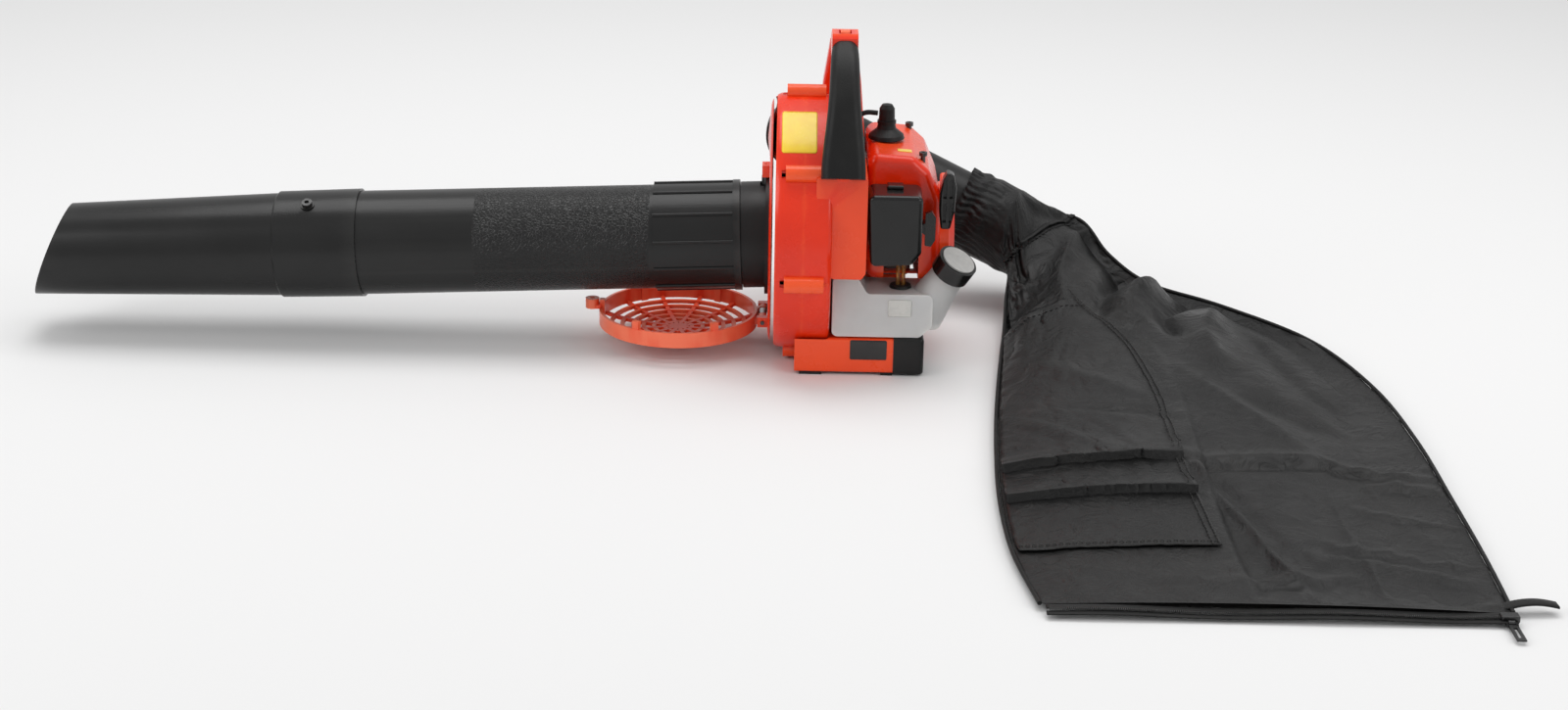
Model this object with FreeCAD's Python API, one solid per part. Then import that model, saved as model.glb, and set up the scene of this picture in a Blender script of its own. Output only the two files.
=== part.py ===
"""Hand-held petrol leaf blower set up as a vacuum, with its suction tube and collecting bag.

Frame, in millimetres: +Z is up and the floor is Z = 0.  The fan and the crankshaft turn about a
line along X at Y = 0, Z = FAN_Z.  The suction tube leaves towards -X, the engine is on the +X side,
the operator stands at -Y and the fan blows out towards +Y.  The origin is on the underside of the
left rubber runner, straight below the fan's axis.
"""

import FreeCAD, Part
import math
import os

from FreeCAD import Vector

os.makedirs("parts", exist_ok=True)

# ---------------------------------------------------------------- driving dimensions
RUNNING = 0.05            # radial clearance of a shaft in its hole
GAP = 0.4                 # air between pieces that don't touch

FAN_Z = 115.0             # height of the fan's axis

VOLUTE_LEFT = -43.0       # intake face of the fan housing
VOLUTE_SPLIT = -9.5       # parting plane of its two halves
VOLUTE_RIGHT = 17.5       # engine face of the fan housing
VOLUTE_WALL = 2.5
INTAKE_ROUNDING = 14.0
ENGINE_ROUNDING = 5.0
SCROLL_START_R = 88.5     # spiral radius at the rear, where it starts
SCROLL_GROWTH = 19.5      # growth of the spiral in each quarter turn
EYE_R = 50.0              # intake eye
OUTLET_Y = 100.0          # end of the outlet stub
OUTLET_Z = 192.0
OUTLET_R = 33.5           # outside of the stub that the elbow slides over
OUTLET_FIT = 0.5          # air between the stub and the elbow
OUTLET_DROP = 8.0         # degrees that the outlet points down

IMPELLER_R = SCROLL_START_R - 8.5
IMPELLER_WIDTH = 40.0
IMPELLER_BLADES = 10
SHAFT_R = 6.0
BEARING_R = SHAFT_R + 5.0
BEARING_WIDTH = 8.0
NUT_R = SHAFT_R + 3.0      # over the corners of the fan's nut

ENGINE_X = 71.0           # cylinder axis
BORE_R = 17.0             # cylinder bore
STROKE = 28.0

TUBE_DROOP = 2.4          # degrees that the suction tube points below level
TUBE_R = 52.0             # outside of the suction tube
TUBE_WALL = 2.0
TUBE_START = 28.0         # distance from the intake face to the tube's end
TUBE_END = 482.0
RIB_R = TUBE_R + 2.8
RIB_LENGTH = 86.0
RIB_COUNT = 12
SLEEVE_START = 408.0      # where the nozzle's sleeve begins, from the intake face
SLEEVE_LENGTH = 81.0
NOZZLE_END = 747.0        # tip of the nozzle's lower lip, from the intake face
NOZZLE_CUT = 44.0         # the upper lip is this much shorter
NOZZLE_TAPER = 7.5        # the tip is this much narrower than the tube, in radius

COLLAR_R = TUBE_R + 8.0    # flange of the intake collar
LATCH_Z = FAN_Z + COLLAR_R + 1   # underside of the guard's latch lug

GUARD_R = 80.0
GUARD_X = -134.0          # centre of the opened intake guard
GUARD_Z = 22.0
GUARD_RINGS = 6
GUARD_SPOKES = 12
HINGE_X = -48.5
HINGE_Z = 30.0
PIN_R = 2.0

BASE_LEFT = -16.0
BASE_RIGHT = 81.0
BASE_FRONT = -94.0
BASE_BACK = 70.0
BASE_TOP = 38.0
RUNNER_T = 3.0
END_CAP_LENGTH = 30.0

HANDLE_X = 27.0           # middle plane of the handle
HANDLE_TOP = 331.0
GRIP_CORE = 12.0

ELBOW_WALL = 2.0
ELBOW_R = OUTLET_R + OUTLET_FIT + ELBOW_WALL
ELBOW_BEND = 65.0
ELBOW_RUN = 160.0
ELBOW_END_DIRECTION = Vector(0.90, -0.15, -0.41).normalize()

ROPE_R = 1.75
PULLEY_R = 28.0

X_AXIS = Vector(1, 0, 0)
Y_AXIS = Vector(0, 1, 0)
Z_AXIS = Vector(0, 0, 1)


# ---------------------------------------------------------------- helpers
def box(low, high):
    """A block between two opposite corners."""
    size = [b - a for a, b in zip(low, high)]
    return Part.makeBox(*size, Vector(*low))


def rod(start, end, radius):
    """A round bar between two points."""
    line = Vector(*end) - Vector(*start)
    return Part.makeCylinder(radius, line.Length, Vector(*start), line)


def cone(start, end, radius_1, radius_2):
    """A round bar whose radius changes evenly."""
    line = Vector(*end) - Vector(*start)
    return Part.makeCone(radius_1, radius_2, line.Length, Vector(*start), line)


def pipe(start, end, outer, inner):
    """A tube between two points."""
    return rod(start, end, outer).cut(rod(start, end, inner))


def turned(points, start, axis, angle=360):
    """A shape turned about axis through start, from (along, radius) points."""
    side = Y_AXIS if abs(axis.y) < 0.9 else X_AXIS
    radial = axis.cross(side).normalize()
    line = [start + axis * along + radial * radius for along, radius in points]
    face = Part.Face(Part.makePolygon(line + [line[0]]))
    return face.revolve(start, axis, angle)


def prism_x(points, low, high):
    """A straight prism along X from (y, z) points."""
    line = [Vector(low, y, z) for y, z in points]
    return Part.Face(Part.makePolygon(line + [line[0]])).extrude(Vector(high - low, 0, 0))


def prism_y(points, low, high):
    """A straight prism along Y from (x, z) points."""
    line = [Vector(x, low, z) for x, z in points]
    return Part.Face(Part.makePolygon(line + [line[0]])).extrude(Vector(0, high - low, 0))


def rounded(shape, radius, wanted=None):
    """Rounds the edges that wanted accepts, or all of them."""
    edges = [edge for edge in shape.Edges if wanted is None or wanted(edge)]
    return shape.makeFillet(radius, edges)


def along(edge, axis):
    """True for a straight edge parallel to axis."""
    if edge.Curve.TypeId != "Part::GeomLine":
        return False
    return abs(edge.tangentAt(edge.FirstParameter).dot(axis)) > 0.999


def loft(sections):
    """A solid through closed wires, in order."""
    return Part.makeLoft(sections, True, True)


def rect_wire(centre, across, up, width, height, corner):
    """A rounded rectangle around centre, in the plane of the directions across and up."""
    normal = across.cross(up)
    wide = width / 2 - corner
    tall = height / 2 - corner
    edges = []
    for quarter in range(4):
        turn = math.radians(90 * quarter)
        sign_a = 1 if quarter in (0, 3) else -1
        sign_u = 1 if quarter in (0, 1) else -1
        middle = centre + across * (sign_a * wide) + up * (sign_u * tall)
        ends = []
        for step in (0, 45, 90):
            angle = turn + math.radians(step)
            ends.append(middle + (across * math.cos(angle) + up * math.sin(angle)) * corner)
        edges.append(Part.Arc(*ends).toShape())
    lines = []
    for first, second in zip(edges, edges[1:] + edges[:1]):
        lines.append(first)
        start = first.Vertexes[-1].Point
        end = second.Vertexes[0].Point
        if start.distanceToPoint(end) > 1e-6:
            lines.append(Part.makeLine(start, end))
    return Part.Wire(Part.__sortEdges__(lines))


def union(shapes):
    """All the shapes joined into one."""
    return shapes[0].multiFuse(shapes[1:]).removeSplitter()


def bent_tube(points, radius):
    """A round tube along straight runs joined by tangent arcs as large as the runs allow."""
    edges = []
    start = points[0]
    for before, corner, after in zip(points, points[1:], points[2:]):
        back = before - corner
        on = after - corner
        turn = math.pi - back.getAngle(on)
        reach = 0.45 * min(back.Length, on.Length)
        bend = reach / math.tan(turn / 2)
        first = corner + Vector(back).normalize() * reach
        last = corner + Vector(on).normalize() * reach
        inward = (Vector(back).normalize() + Vector(on).normalize()).normalize()
        centre = corner + inward * (bend / math.cos(turn / 2))
        middle = centre - inward * bend
        edges.append(Part.makeLine(start, first))
        edges.append(Part.Arc(first, middle, last).toShape())
        start = last
    edges.append(Part.makeLine(start, points[-1]))
    wire = Part.Wire(edges)
    section = Part.Wire(Part.makeCircle(radius, points[0], points[1] - points[0]))
    return wire.makePipeShell([section], True, True)


def save(name, shape):
    """Writes one named piece and reports its size."""
    solids = shape.Solids
    good = bool(solids) and shape.isValid() and all(solid.Volume > 0 for solid in solids)
    body = solids[0] if len(solids) == 1 else Part.makeCompound(solids)
    body.exportStep(f"parts/{name}.step")
    note = "" if good else "   <-- NOT VALID"
    size = body.BoundBox
    print(f"{name:22s} {len(solids):3d} solids {sum(s.Volume for s in solids)/1000:9.1f} cm3  "
          f"X {size.XMin:.0f}..{size.XMax:.0f} Y {size.YMin:.0f}..{size.YMax:.0f} "
          f"Z {size.ZMin:.0f}..{size.ZMax:.0f}{note}")


# ---------------------------------------------------------------- fan housing
OUTLET_DIR = Vector(0, math.cos(math.radians(OUTLET_DROP)), -math.sin(math.radians(OUTLET_DROP)))
VOLUTE_MIDDLE = (VOLUTE_LEFT + VOLUTE_RIGHT) / 2
OUTLET_CENTRE = Vector(VOLUTE_MIDDLE, OUTLET_Y, OUTLET_Z)


def scroll_points(offset, steps=36, last=300):
    """The spiral wall, from the rear down, round the front and over the top, moved in by offset."""
    points = []
    for step in range(steps + 1):
        degrees = last * step / steps
        radius = SCROLL_START_R + SCROLL_GROWTH * degrees / 90 - offset
        if degrees > 270:
            radius -= 0.9 * (degrees - 270)
        angle = math.radians(-degrees)
        points.append((radius * math.cos(angle), FAN_Z + radius * math.sin(angle)))
    return points


def scroll_solid(offset, low, high):
    """The solid inside the spiral wall, moved in by offset, from X = low to high."""
    points = [Vector(low, y, z) for y, z in scroll_points(offset)]
    spiral = Part.BSplineCurve()
    spiral.interpolate(points)
    closing = Part.makeLine(points[-1], points[0])
    wire = Part.Wire([spiral.toShape(), closing])
    return Part.Face(wire).extrude(Vector(high - low, 0, 0))


def outlet_duct(offset, reach):
    """The duct from the scroll to the round stub, moved in by offset."""
    up = X_AXIS.cross(OUTLET_DIR)
    width = VOLUTE_RIGHT - VOLUTE_LEFT - 2 * offset
    inner = OUTLET_CENTRE - OUTLET_DIR * 82
    mid = OUTLET_CENTRE - OUTLET_DIR * 30
    start = rect_wire(inner + up * 8, X_AXIS, up, width, 84 - 2 * offset, 12)
    neck = rect_wire(mid, X_AXIS, up, 2 * (OUTLET_R - offset), 2 * (OUTLET_R - offset),
                     OUTLET_R - offset - 0.1)
    duct = Part.makeLoft([start, neck], True, True)
    stub = rod(mid - OUTLET_DIR * 0.01, OUTLET_CENTRE + OUTLET_DIR * reach, OUTLET_R - offset)
    return duct, stub


def volute_outer():
    """The outside of the whole fan housing."""
    body = scroll_solid(0, VOLUTE_LEFT, VOLUTE_RIGHT)

    def rim(solid, x):
        return [edge for edge in solid.Edges
                if edge.Curve.TypeId == "Part::GeomBSplineCurve" and edge.BoundBox.XLength < 0.01
                and abs(edge.BoundBox.XMin - x) < 0.1]

    body = body.makeFillet(INTAKE_ROUNDING, rim(body, VOLUTE_LEFT))
    return body.makeFillet(ENGINE_ROUNDING, rim(body, VOLUTE_RIGHT))


def volute_shell():
    """The housing's walls, before it is split, and its outside as a solid."""
    duct, stub = outlet_duct(0, 0)
    outer = union([volute_outer(), duct, stub])
    duct_in, stub_in = outlet_duct(VOLUTE_WALL, 1)
    hollow = scroll_solid(VOLUTE_WALL, VOLUTE_LEFT + VOLUTE_WALL, VOLUTE_RIGHT - VOLUTE_WALL)
    hollow = union([hollow, duct_in, stub_in])
    return outer.cut(hollow), outer, hollow


def boss_places():
    """Where the housing's screws go round its rim, as (y, z)."""
    places = []
    for degrees in (55, 115, 175, 222, 268):
        radius = SCROLL_START_R + SCROLL_GROWTH * degrees / 90 + 1.5
        angle = math.radians(-degrees)
        places.append((radius * math.cos(angle), FAN_Z + radius * math.sin(angle)))
    return places


def screw(start, end, radius, head_radius, head_height):
    """A screw with a round socket head at start, its tip at end."""
    axis = (Vector(*end) - Vector(*start)).normalize()
    head = rod(start, Vector(*start) + axis * head_height, head_radius)
    socket = rod(Vector(*start) - axis, Vector(*start) + axis * head_height * 0.6, head_radius * 0.45)
    return union([head, rod(start, end, radius)]).cut(socket)


SCREW_R = 2.2
BOSS_R = 8.0


def build_volute():
    """The two halves of the fan housing with its screws and the guard's latch; returns its outside."""
    shell, outer, hollow = volute_shell()
    bosses = [rod((VOLUTE_SPLIT - 18, y, z), (VOLUTE_SPLIT + 20, y, z), BOSS_R) for y, z in boss_places()]
    shell = shell.fuse([boss.cut(hollow) for boss in bosses])
    eye = rod((VOLUTE_LEFT - 5, 0, FAN_Z), (VOLUTE_LEFT + 5, 0, FAN_Z), EYE_R)
    shaft_hole = rod((VOLUTE_RIGHT - 5, 0, FAN_Z), (VOLUTE_RIGHT + 5, 0, FAN_Z), 26)
    holes = [rod((VOLUTE_SPLIT - 20, y, z), (VOLUTE_SPLIT + 30, y, z), SCREW_R + 0.1)
             for y, z in boss_places()]
    heads = [rod((VOLUTE_SPLIT - 22, y, z), (VOLUTE_SPLIT - 14, y, z), 4.4) for y, z in boss_places()]
    shell = shell.cut([eye, shaft_hole] + holes + heads)
    big = 400
    left = shell.common(box((VOLUTE_LEFT - 20, -big, -big), (VOLUTE_SPLIT, big, big)))
    right = shell.common(box((VOLUTE_SPLIT, -big, -big), (VOLUTE_RIGHT + 20, big, big)))
    hinge_arms = []
    for y in (-27, 19):
        arm = box((HINGE_X - 5, y, HINGE_Z - 5), (VOLUTE_LEFT + 10, y + 8, HINGE_Z + 5))
        hinge_arms.append(arm)
    latch_lug = box((VOLUTE_LEFT - 8, -8, LATCH_Z), (VOLUTE_LEFT + 3, 8, LATCH_Z + 12))
    left = left.fuse([arm.cut(hollow) for arm in hinge_arms] + [latch_lug])
    pin_hole = rod((HINGE_X, -60, HINGE_Z), (HINGE_X, 60, HINGE_Z), PIN_R)
    latch_hole = rod((VOLUTE_LEFT - 4.5, 0, LATCH_Z - 16), (VOLUTE_LEFT - 4.5, 0, LATCH_Z + 24), 1.6)
    left = left.cut([pin_hole, latch_hole])
    save("volute_intake_half", left)
    save("volute_engine_half", right)
    screws = [screw((VOLUTE_SPLIT - 14 - 3, y, z), (VOLUTE_SPLIT + 16, y, z), SCREW_R, 4, 3)
              for y, z in boss_places()]
    save("volute_screws", Part.makeCompound(screws))
    latch = screw((VOLUTE_LEFT - 4.5, 0, LATCH_Z - 10), (VOLUTE_LEFT - 4.5, 0, LATCH_Z + 10), 1.6, 4, 10)
    save("guard_latch_screw", latch)
    return outer


def build_fan():
    """The impeller, its nut, the crankshaft and the flywheel, which turn together."""
    left, right = VOLUTE_LEFT + 9, VOLUTE_LEFT + 9 + IMPELLER_WIDTH
    plate = rod((right - 3, 0, FAN_Z), (right, 0, FAN_Z), IMPELLER_R)
    hub = turned([(0, 0), (0, 14), (-22, 12), (-26, 0)], Vector(right, 0, FAN_Z), X_AXIS)
    blades = []
    for index in range(IMPELLER_BLADES):
        low, mid, top = 22, 50, IMPELLER_R - 1
        blade = prism_x([(low, FAN_Z - 1.2), (mid, FAN_Z + 6), (top, FAN_Z + 18),
                         (top, FAN_Z + 21), (mid, FAN_Z + 9), (low, FAN_Z + 1.2)], left, right - 2)
        blade.rotate(Vector(0, 0, FAN_Z), X_AXIS, 360 * index / IMPELLER_BLADES)
        blades.append(blade.common(rod((left, 0, FAN_Z), (right, 0, FAN_Z), IMPELLER_R)))
    fan = union([plate, hub] + blades).cut(rod((left - 9, 0, FAN_Z), (right + 9, 0, FAN_Z), SHAFT_R))
    save("impeller", fan)
    nut_at = right - 26
    nut = Part.Face(Part.makePolygon([Vector(nut_at - 7, NUT_R * math.cos(math.radians(60 * k)),
                                             FAN_Z + NUT_R * math.sin(math.radians(60 * k)))
                                      for k in range(7)])).extrude(Vector(7, 0, 0))
    save("impeller_nut", nut.cut(rod((nut_at - 9, 0, FAN_Z), (nut_at + 9, 0, FAN_Z), SHAFT_R)))
    shaft = rod((nut_at - 9, 0, FAN_Z), (118, 0, FAN_Z), SHAFT_R)
    disc_low, disc_high = 61.0, 66.0
    web = rod((disc_low, 0, FAN_Z), (disc_high, 0, FAN_Z), 20)
    web_2 = rod((76, 0, FAN_Z), (81, 0, FAN_Z), 20)
    throw = rod((disc_low, 0, FAN_Z + STROKE / 2), (81, 0, FAN_Z + STROKE / 2), 4.5)
    middle = rod((disc_high, 0, FAN_Z), (76, 0, FAN_Z), SHAFT_R + 1)
    save("crankshaft", union([shaft.cut(middle), web, web_2, throw]))
    wheel_left = VOLUTE_RIGHT + 3
    wheel = turned([(0, SHAFT_R), (0, 34), (12, 34), (12, 28), (4, 28), (4, 12), (12, 12), (12, SHAFT_R)],
                   Vector(wheel_left, 0, FAN_Z), X_AXIS)
    save("flywheel", wheel)


CASE_LOW = 41.0
CASE_HIGH = 98.0


def build_engine():
    """Crankcase, bearings, cylinder, piston, rod, plug, muffler, carburettor and ignition."""
    case = rounded(box((CASE_LOW, -30, FAN_Z - 32), (CASE_HIGH, 30, FAN_Z + 24)), 6)
    hollow = union([rod((51, 0, FAN_Z), (88, 0, FAN_Z), 24),
                    rod((ENGINE_X, 0, FAN_Z), (ENGINE_X, 0, FAN_Z + 40), BORE_R + 1)])
    seats = rod((CASE_LOW - 1, 0, FAN_Z), (CASE_HIGH + 1, 0, FAN_Z), BEARING_R)
    save("crankcase", case.cut([hollow, seats]))
    bearings = [pipe((x, 0, FAN_Z), (x + BEARING_WIDTH, 0, FAN_Z), BEARING_R, SHAFT_R + RUNNING)
                for x in (CASE_LOW + 1, CASE_HIGH - 1 - BEARING_WIDTH)]
    save("main_bearings", Part.makeCompound([b.Solids[0] for b in bearings]))
    foot_z, head_z = FAN_Z + 24, 198.0
    body = rod((ENGINE_X, 0, foot_z), (ENGINE_X, 0, head_z), BORE_R + 4)
    fins = [rounded(box((ENGINE_X - 28, -26, z), (ENGINE_X + 28, 26, z + 1.6)), 6,
                    lambda e: along(e, Z_AXIS)) for z in range(int(foot_z) + 6, int(head_z) - 1, 6)]
    flange = box((ENGINE_X - 24, -24, foot_z), (ENGINE_X + 24, 24, foot_z + 5))
    cylinder = union([body, flange] + fins)
    bore = rod((ENGINE_X, 0, foot_z - 1), (ENGINE_X, 0, head_z - 8), BORE_R)
    plug_hole = rod((ENGINE_X, 0, head_z - 9), (ENGINE_X, 0, head_z + 1), 5)
    save("cylinder", cylinder.cut([bore, plug_hole]))
    crown = head_z - 10
    skirt = rod((ENGINE_X, 0, crown - 24), (ENGINE_X, 0, crown), BORE_R - RUNNING)
    skirt = skirt.cut(rod((ENGINE_X, 0, crown - 25), (ENGINE_X, 0, crown - 4), BORE_R - 3))
    bosses = rod((ENGINE_X, -BORE_R + 2, crown - 14), (ENGINE_X, BORE_R - 2, crown - 14), 6)
    bosses = bosses.cut(box((ENGINE_X - 9, -7, crown - 30), (ENGINE_X + 9, 7, crown)))
    pin_hole = rod((ENGINE_X, -30, crown - 14), (ENGINE_X, 30, crown - 14), 3.5)
    save("piston", union([skirt, bosses]).cut(pin_hole))
    save("wrist_pin", rod((ENGINE_X, -15, crown - 14), (ENGINE_X, 15, crown - 14), 3.5))
    low = FAN_Z + STROKE / 2 + 4.5 + 3
    rod_piece = union([rod((ENGINE_X, -5, crown - 14), (ENGINE_X, 5, crown - 14), 6),
                       box((ENGINE_X - 3, -3.5, low), (ENGINE_X + 3, 3.5, crown - 14))])
    save("connecting_rod", rod_piece.cut(pin_hole))
    plug = turned([(-9, 0), (-9, 5 - 0.02), (0, 5 - 0.02), (0, 9), (7, 9), (7, 5), (24, 4), (24, 0)],
                  Vector(ENGINE_X, 0, head_z), Z_AXIS)
    save("spark_plug", plug)


PLUG_TOP = 222.0
LEAD_R = 2.5


def build_ignition():
    """The rubber boot, the coil at the flywheel's rim and the lead between them."""
    boot = turned([(-2.6, 5.2), (-2.6, 18), (1, 17), (7, 9.5), (12, 8.5), (12, 9.3), (15, 9.3), (15, 8.0),
                   (27, 7.6), (31, 5), (32, 0), (4, 0), (4, 5.2)],
                  Vector(ENGINE_X, 0, PLUG_TOP - 2), Z_AXIS)
    plug_room = rod((ENGINE_X, 0, PLUG_TOP - 10), (ENGINE_X, 0, PLUG_TOP + 2.4), 5.2)
    save("spark_plug_boot", boot.cut(plug_room))
    coil = rounded(box((21, -14, FAN_Z + 35), (33, 14, FAN_Z + 66)), 2)
    save("ignition_coil", coil)
    start = Vector(27, 0, FAN_Z + 66)
    entry = Vector(ENGINE_X - 9, 0, PLUG_TOP + 20)
    lead = bent_tube([start, Vector(27, 0, 204), Vector(38, 0, 236), Vector(50, 0, 243), entry], LEAD_R)
    save("ignition_lead", lead)


FILTER_LEFT = 52.0
FILTER_RIGHT = 104.0
FILTER_FRONT = -115.0
FILTER_BACK = -72.0
CARB_Z = 158.0


def build_intake():
    """Manifold, carburettor, primer, choke and the air filter with its cover."""
    carb_x = 78.0
    block = box((carb_x - 14, -42, CARB_Z - 12), (carb_x + 14, -26 - GAP, CARB_Z + 12))
    passage = rod((carb_x, -100, CARB_Z), (carb_x, 0, CARB_Z), 6)
    save("intake_manifold", block.cut(passage))
    body = union([box((carb_x - 16, -64, CARB_Z - 16), (carb_x + 16, -42, CARB_Z + 14)),
                  rod((carb_x, -66, CARB_Z), (carb_x, -42, CARB_Z), 13)])
    save("carburettor", body.cut(passage))
    bulb = turned([(0, 0), (0, 9), (-5, 8.5), (-11, 5), (-12, 0)],
                  Vector(carb_x - 7, -53, CARB_Z - 16), Z_AXIS)
    save("primer_bulb", bulb)
    back = box((FILTER_LEFT + 2, FILTER_BACK, 124), (FILTER_RIGHT - 2, -66, 188))
    save("air_filter_base", rounded(back, 5, lambda e: along(e, Y_AXIS)).cut(passage))
    element = rounded(box((FILTER_LEFT + 7, -102, 132), (FILTER_RIGHT - 7, FILTER_BACK, 182)), 4,
                      lambda e: along(e, Y_AXIS))
    save("air_filter_element", element)

    def cover_block(inset, front, rear):
        outline = [(FILTER_LEFT + 3 + inset, 119 + inset), (FILTER_RIGHT - 9 - inset, 121 + inset),
                   (FILTER_RIGHT - inset, 133 + inset), (FILTER_RIGHT - inset, 190 - inset),
                   (FILTER_LEFT + inset, 190 - inset)]
        block = prism_y(outline, front, rear)
        block = rounded(block, max(6 - inset, 2), lambda e: along(e, Y_AXIS))
        if inset == 0:
            block = rounded(block, 4, lambda e: e.BoundBox.YMax < front + 0.01)
        return block

    cover = cover_block(0, FILTER_FRONT, FILTER_BACK).cut(cover_block(2.5, FILTER_FRONT + 2.5, 0))
    snap = rounded(box((FILTER_LEFT + 18, -92, 190), (FILTER_LEFT + 34, -78, 194)), 1.5)
    save("air_filter_cover", cover.fuse(snap))
    pivot = Vector(FILTER_RIGHT + 6, -80, 150)
    hub = rod(pivot + Vector(0, 8, 0), pivot - Vector(0, 8, 0), 6)
    lever = prism_y([(108, 134), (114, 133), (118, 140), (118, 162), (114, 168), (108, 166)], -90, -84)
    stem = rod(pivot + Vector(0, 14, 0), pivot, 3)
    save("choke_lever", union([hub, lever, stem]))


TANK_TILT = Vector(0.44, -0.33, 0.84).normalize()
CAP_CENTRE = Vector(140, -86, 116)
NECK_R = 15.0
NECK_ROOT_R = 23.0
NECK_LENGTH = 66.0
TANK_WALL = 2.0


def neck_cone(grow, short=6):
    """The tank's filler neck, grown by grow."""
    top = CAP_CENTRE - TANK_TILT * short
    return cone(top - TANK_TILT * NECK_LENGTH, top, NECK_ROOT_R + grow, NECK_R + grow)


def build_tank():
    """Blow-moulded tank with a slanting neck, its cap, grommet, and two fuel lines."""
    front, back = -92.0, -38.0

    def tank_body(inset):
        outline = [(20 + inset, 40 + inset), (106 - inset, 40 + inset), (118 - inset, 52 + inset),
                   (118 - inset, 84 - inset), (54 + inset, 84 - inset), (44 - inset, 101 - inset),
                   (20 + inset, 101 - inset)]
        block = prism_y(outline, front + inset, back - inset)
        block = rounded(block, max(6 - inset, 3), lambda e: along(e, Y_AXIS))
        return block.fuse(neck_cone(-inset, 6 if inset == 0 else 0))

    grommet_at = Vector(87, -66, 84)
    hole = rod(grommet_at - Z_AXIS * 6, grommet_at + Z_AXIS * 3, 6)
    tank = tank_body(0).cut([tank_body(TANK_WALL), hole])
    save("fuel_tank", tank)
    grommet = turned([(-4, 0), (-4, 6), (0, 6), (0, 11), (2.5, 10), (2.5, 0)], grommet_at, Z_AXIS)
    lines = []
    for name, shift in (("fuel_feed_line", -2.6), ("fuel_return_line", 2.6)):
        start = grommet_at + Vector(shift, 0, -3)
        route = [start, start + Vector(0, 0, 16), Vector(grommet_at.x + shift, -55, 120),
                 Vector(grommet_at.x + shift, -55, CARB_Z - 16.1)]
        lines.append(rod(start - Z_AXIS * 2, start + Z_AXIS * 9, 2))
        save(name, bent_tube(route, 2.0))
    save("tank_grommet", grommet.cut(lines))
    top = CAP_CENTRE
    low = top - TANK_TILT * 14
    cap = cone(low, top + TANK_TILT * 3, 19.5, 20)
    cap = cap.cut(rod(low - TANK_TILT, top, NECK_R + 2.2))
    disc_seat = rod(top + TANK_TILT * 1.5, top + TANK_TILT * 5, 17)
    save("fuel_cap", cap.cut(disc_seat))
    save("fuel_cap_disc", rod(top + TANK_TILT * 1.5, top + TANK_TILT * 4.5, 17))


COVER_LEFT = 52.0
COVER_RIGHT = 124.0
COVER_FRONT = -64.0
COVER_BACK = 70.0
COVER_LOW = 90.0
COVER_TOP = 217.0
COVER_WALL = 2.5


def build_cover():
    """The moulded shroud over the engine, its screws, and the muffler behind the cylinder."""
    def cover_block(inset):
        outline = [(COVER_LEFT + inset, COVER_LOW + inset), (COVER_RIGHT - inset, COVER_LOW + inset),
                   (COVER_RIGHT - inset, 172), (COVER_RIGHT - 12 - inset, 200),
                   (COVER_RIGHT - 28 - inset, COVER_TOP - 3 - inset), (COVER_LEFT + inset, COVER_TOP - inset)]
        block = prism_y(outline, COVER_FRONT + inset, COVER_BACK - inset)
        block = rounded(block, 11 - inset, lambda e: along(e, Y_AXIS))
        return rounded(block, 8 - inset, lambda e: e.BoundBox.YLength < 0.01)

    cover = cover_block(0).cut(cover_block(COVER_WALL))
    window = box((FILTER_LEFT + 4, COVER_FRONT - 1, 122), (FILTER_RIGHT - 4, COVER_FRONT + 9, 186))
    plug_hole = rod((ENGINE_X, 0, COVER_TOP - 9), (ENGINE_X, 0, COVER_TOP + 9), 12)
    side = rod((COVER_RIGHT - 9, 0, FAN_Z), (COVER_RIGHT + 9, 0, FAN_Z), 24)
    open_left = box((COVER_LEFT - 1, -48, COVER_LOW + 3), (COVER_LEFT + 3, 60, COVER_TOP - 14))
    fuel_way = box((70, COVER_FRONT - 1, 80), (104, COVER_FRONT + 22, 122))
    slots = [box((60 + 13 * k, COVER_BACK - 9, 110), (67 + 13 * k, COVER_BACK + 1, 180)) for k in range(4)]
    case_way = box((COVER_LEFT - 1, -34, COVER_LOW - 9), (CASE_HIGH + 3, 34, COVER_LOW + 14))
    screw_at = [(96, COVER_BACK - 16), (106, -40)]
    bores = [rod((x, y, COVER_TOP - 30), (x, y, COVER_TOP + 9), 2.6) for x, y in screw_at]
    save("engine_cover", cover.cut([window, plug_hole, side, open_left, fuel_way, case_way, neck_cone(1.0)]
                                    + slots + bores))
    tops = [COVER_TOP + 2, COVER_TOP - 3]
    screws = [screw((x, y, z), (x, y, z - 22), 2.4, 4, 3.5) for (x, y), z in zip(screw_at, tops)]
    save("cover_screws", Part.makeCompound(screws))
    can = rounded(box((ENGINE_X - 19, 27, 140), (ENGINE_X + 21, 60, 190)), 5)
    tail = rod((ENGINE_X + 8, 58, 150), (ENGINE_X + 8, 66, 150), 5)
    save("muffler", can.fuse(tail).cut(rod((ENGINE_X + 8, 50, 150), (ENGINE_X + 8, 67, 150), 3.5)))


STARTER_LEFT = 124.3
STARTER_RIGHT = 139.0
ROPE_EXIT = Vector(131, -62, 180)


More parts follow.
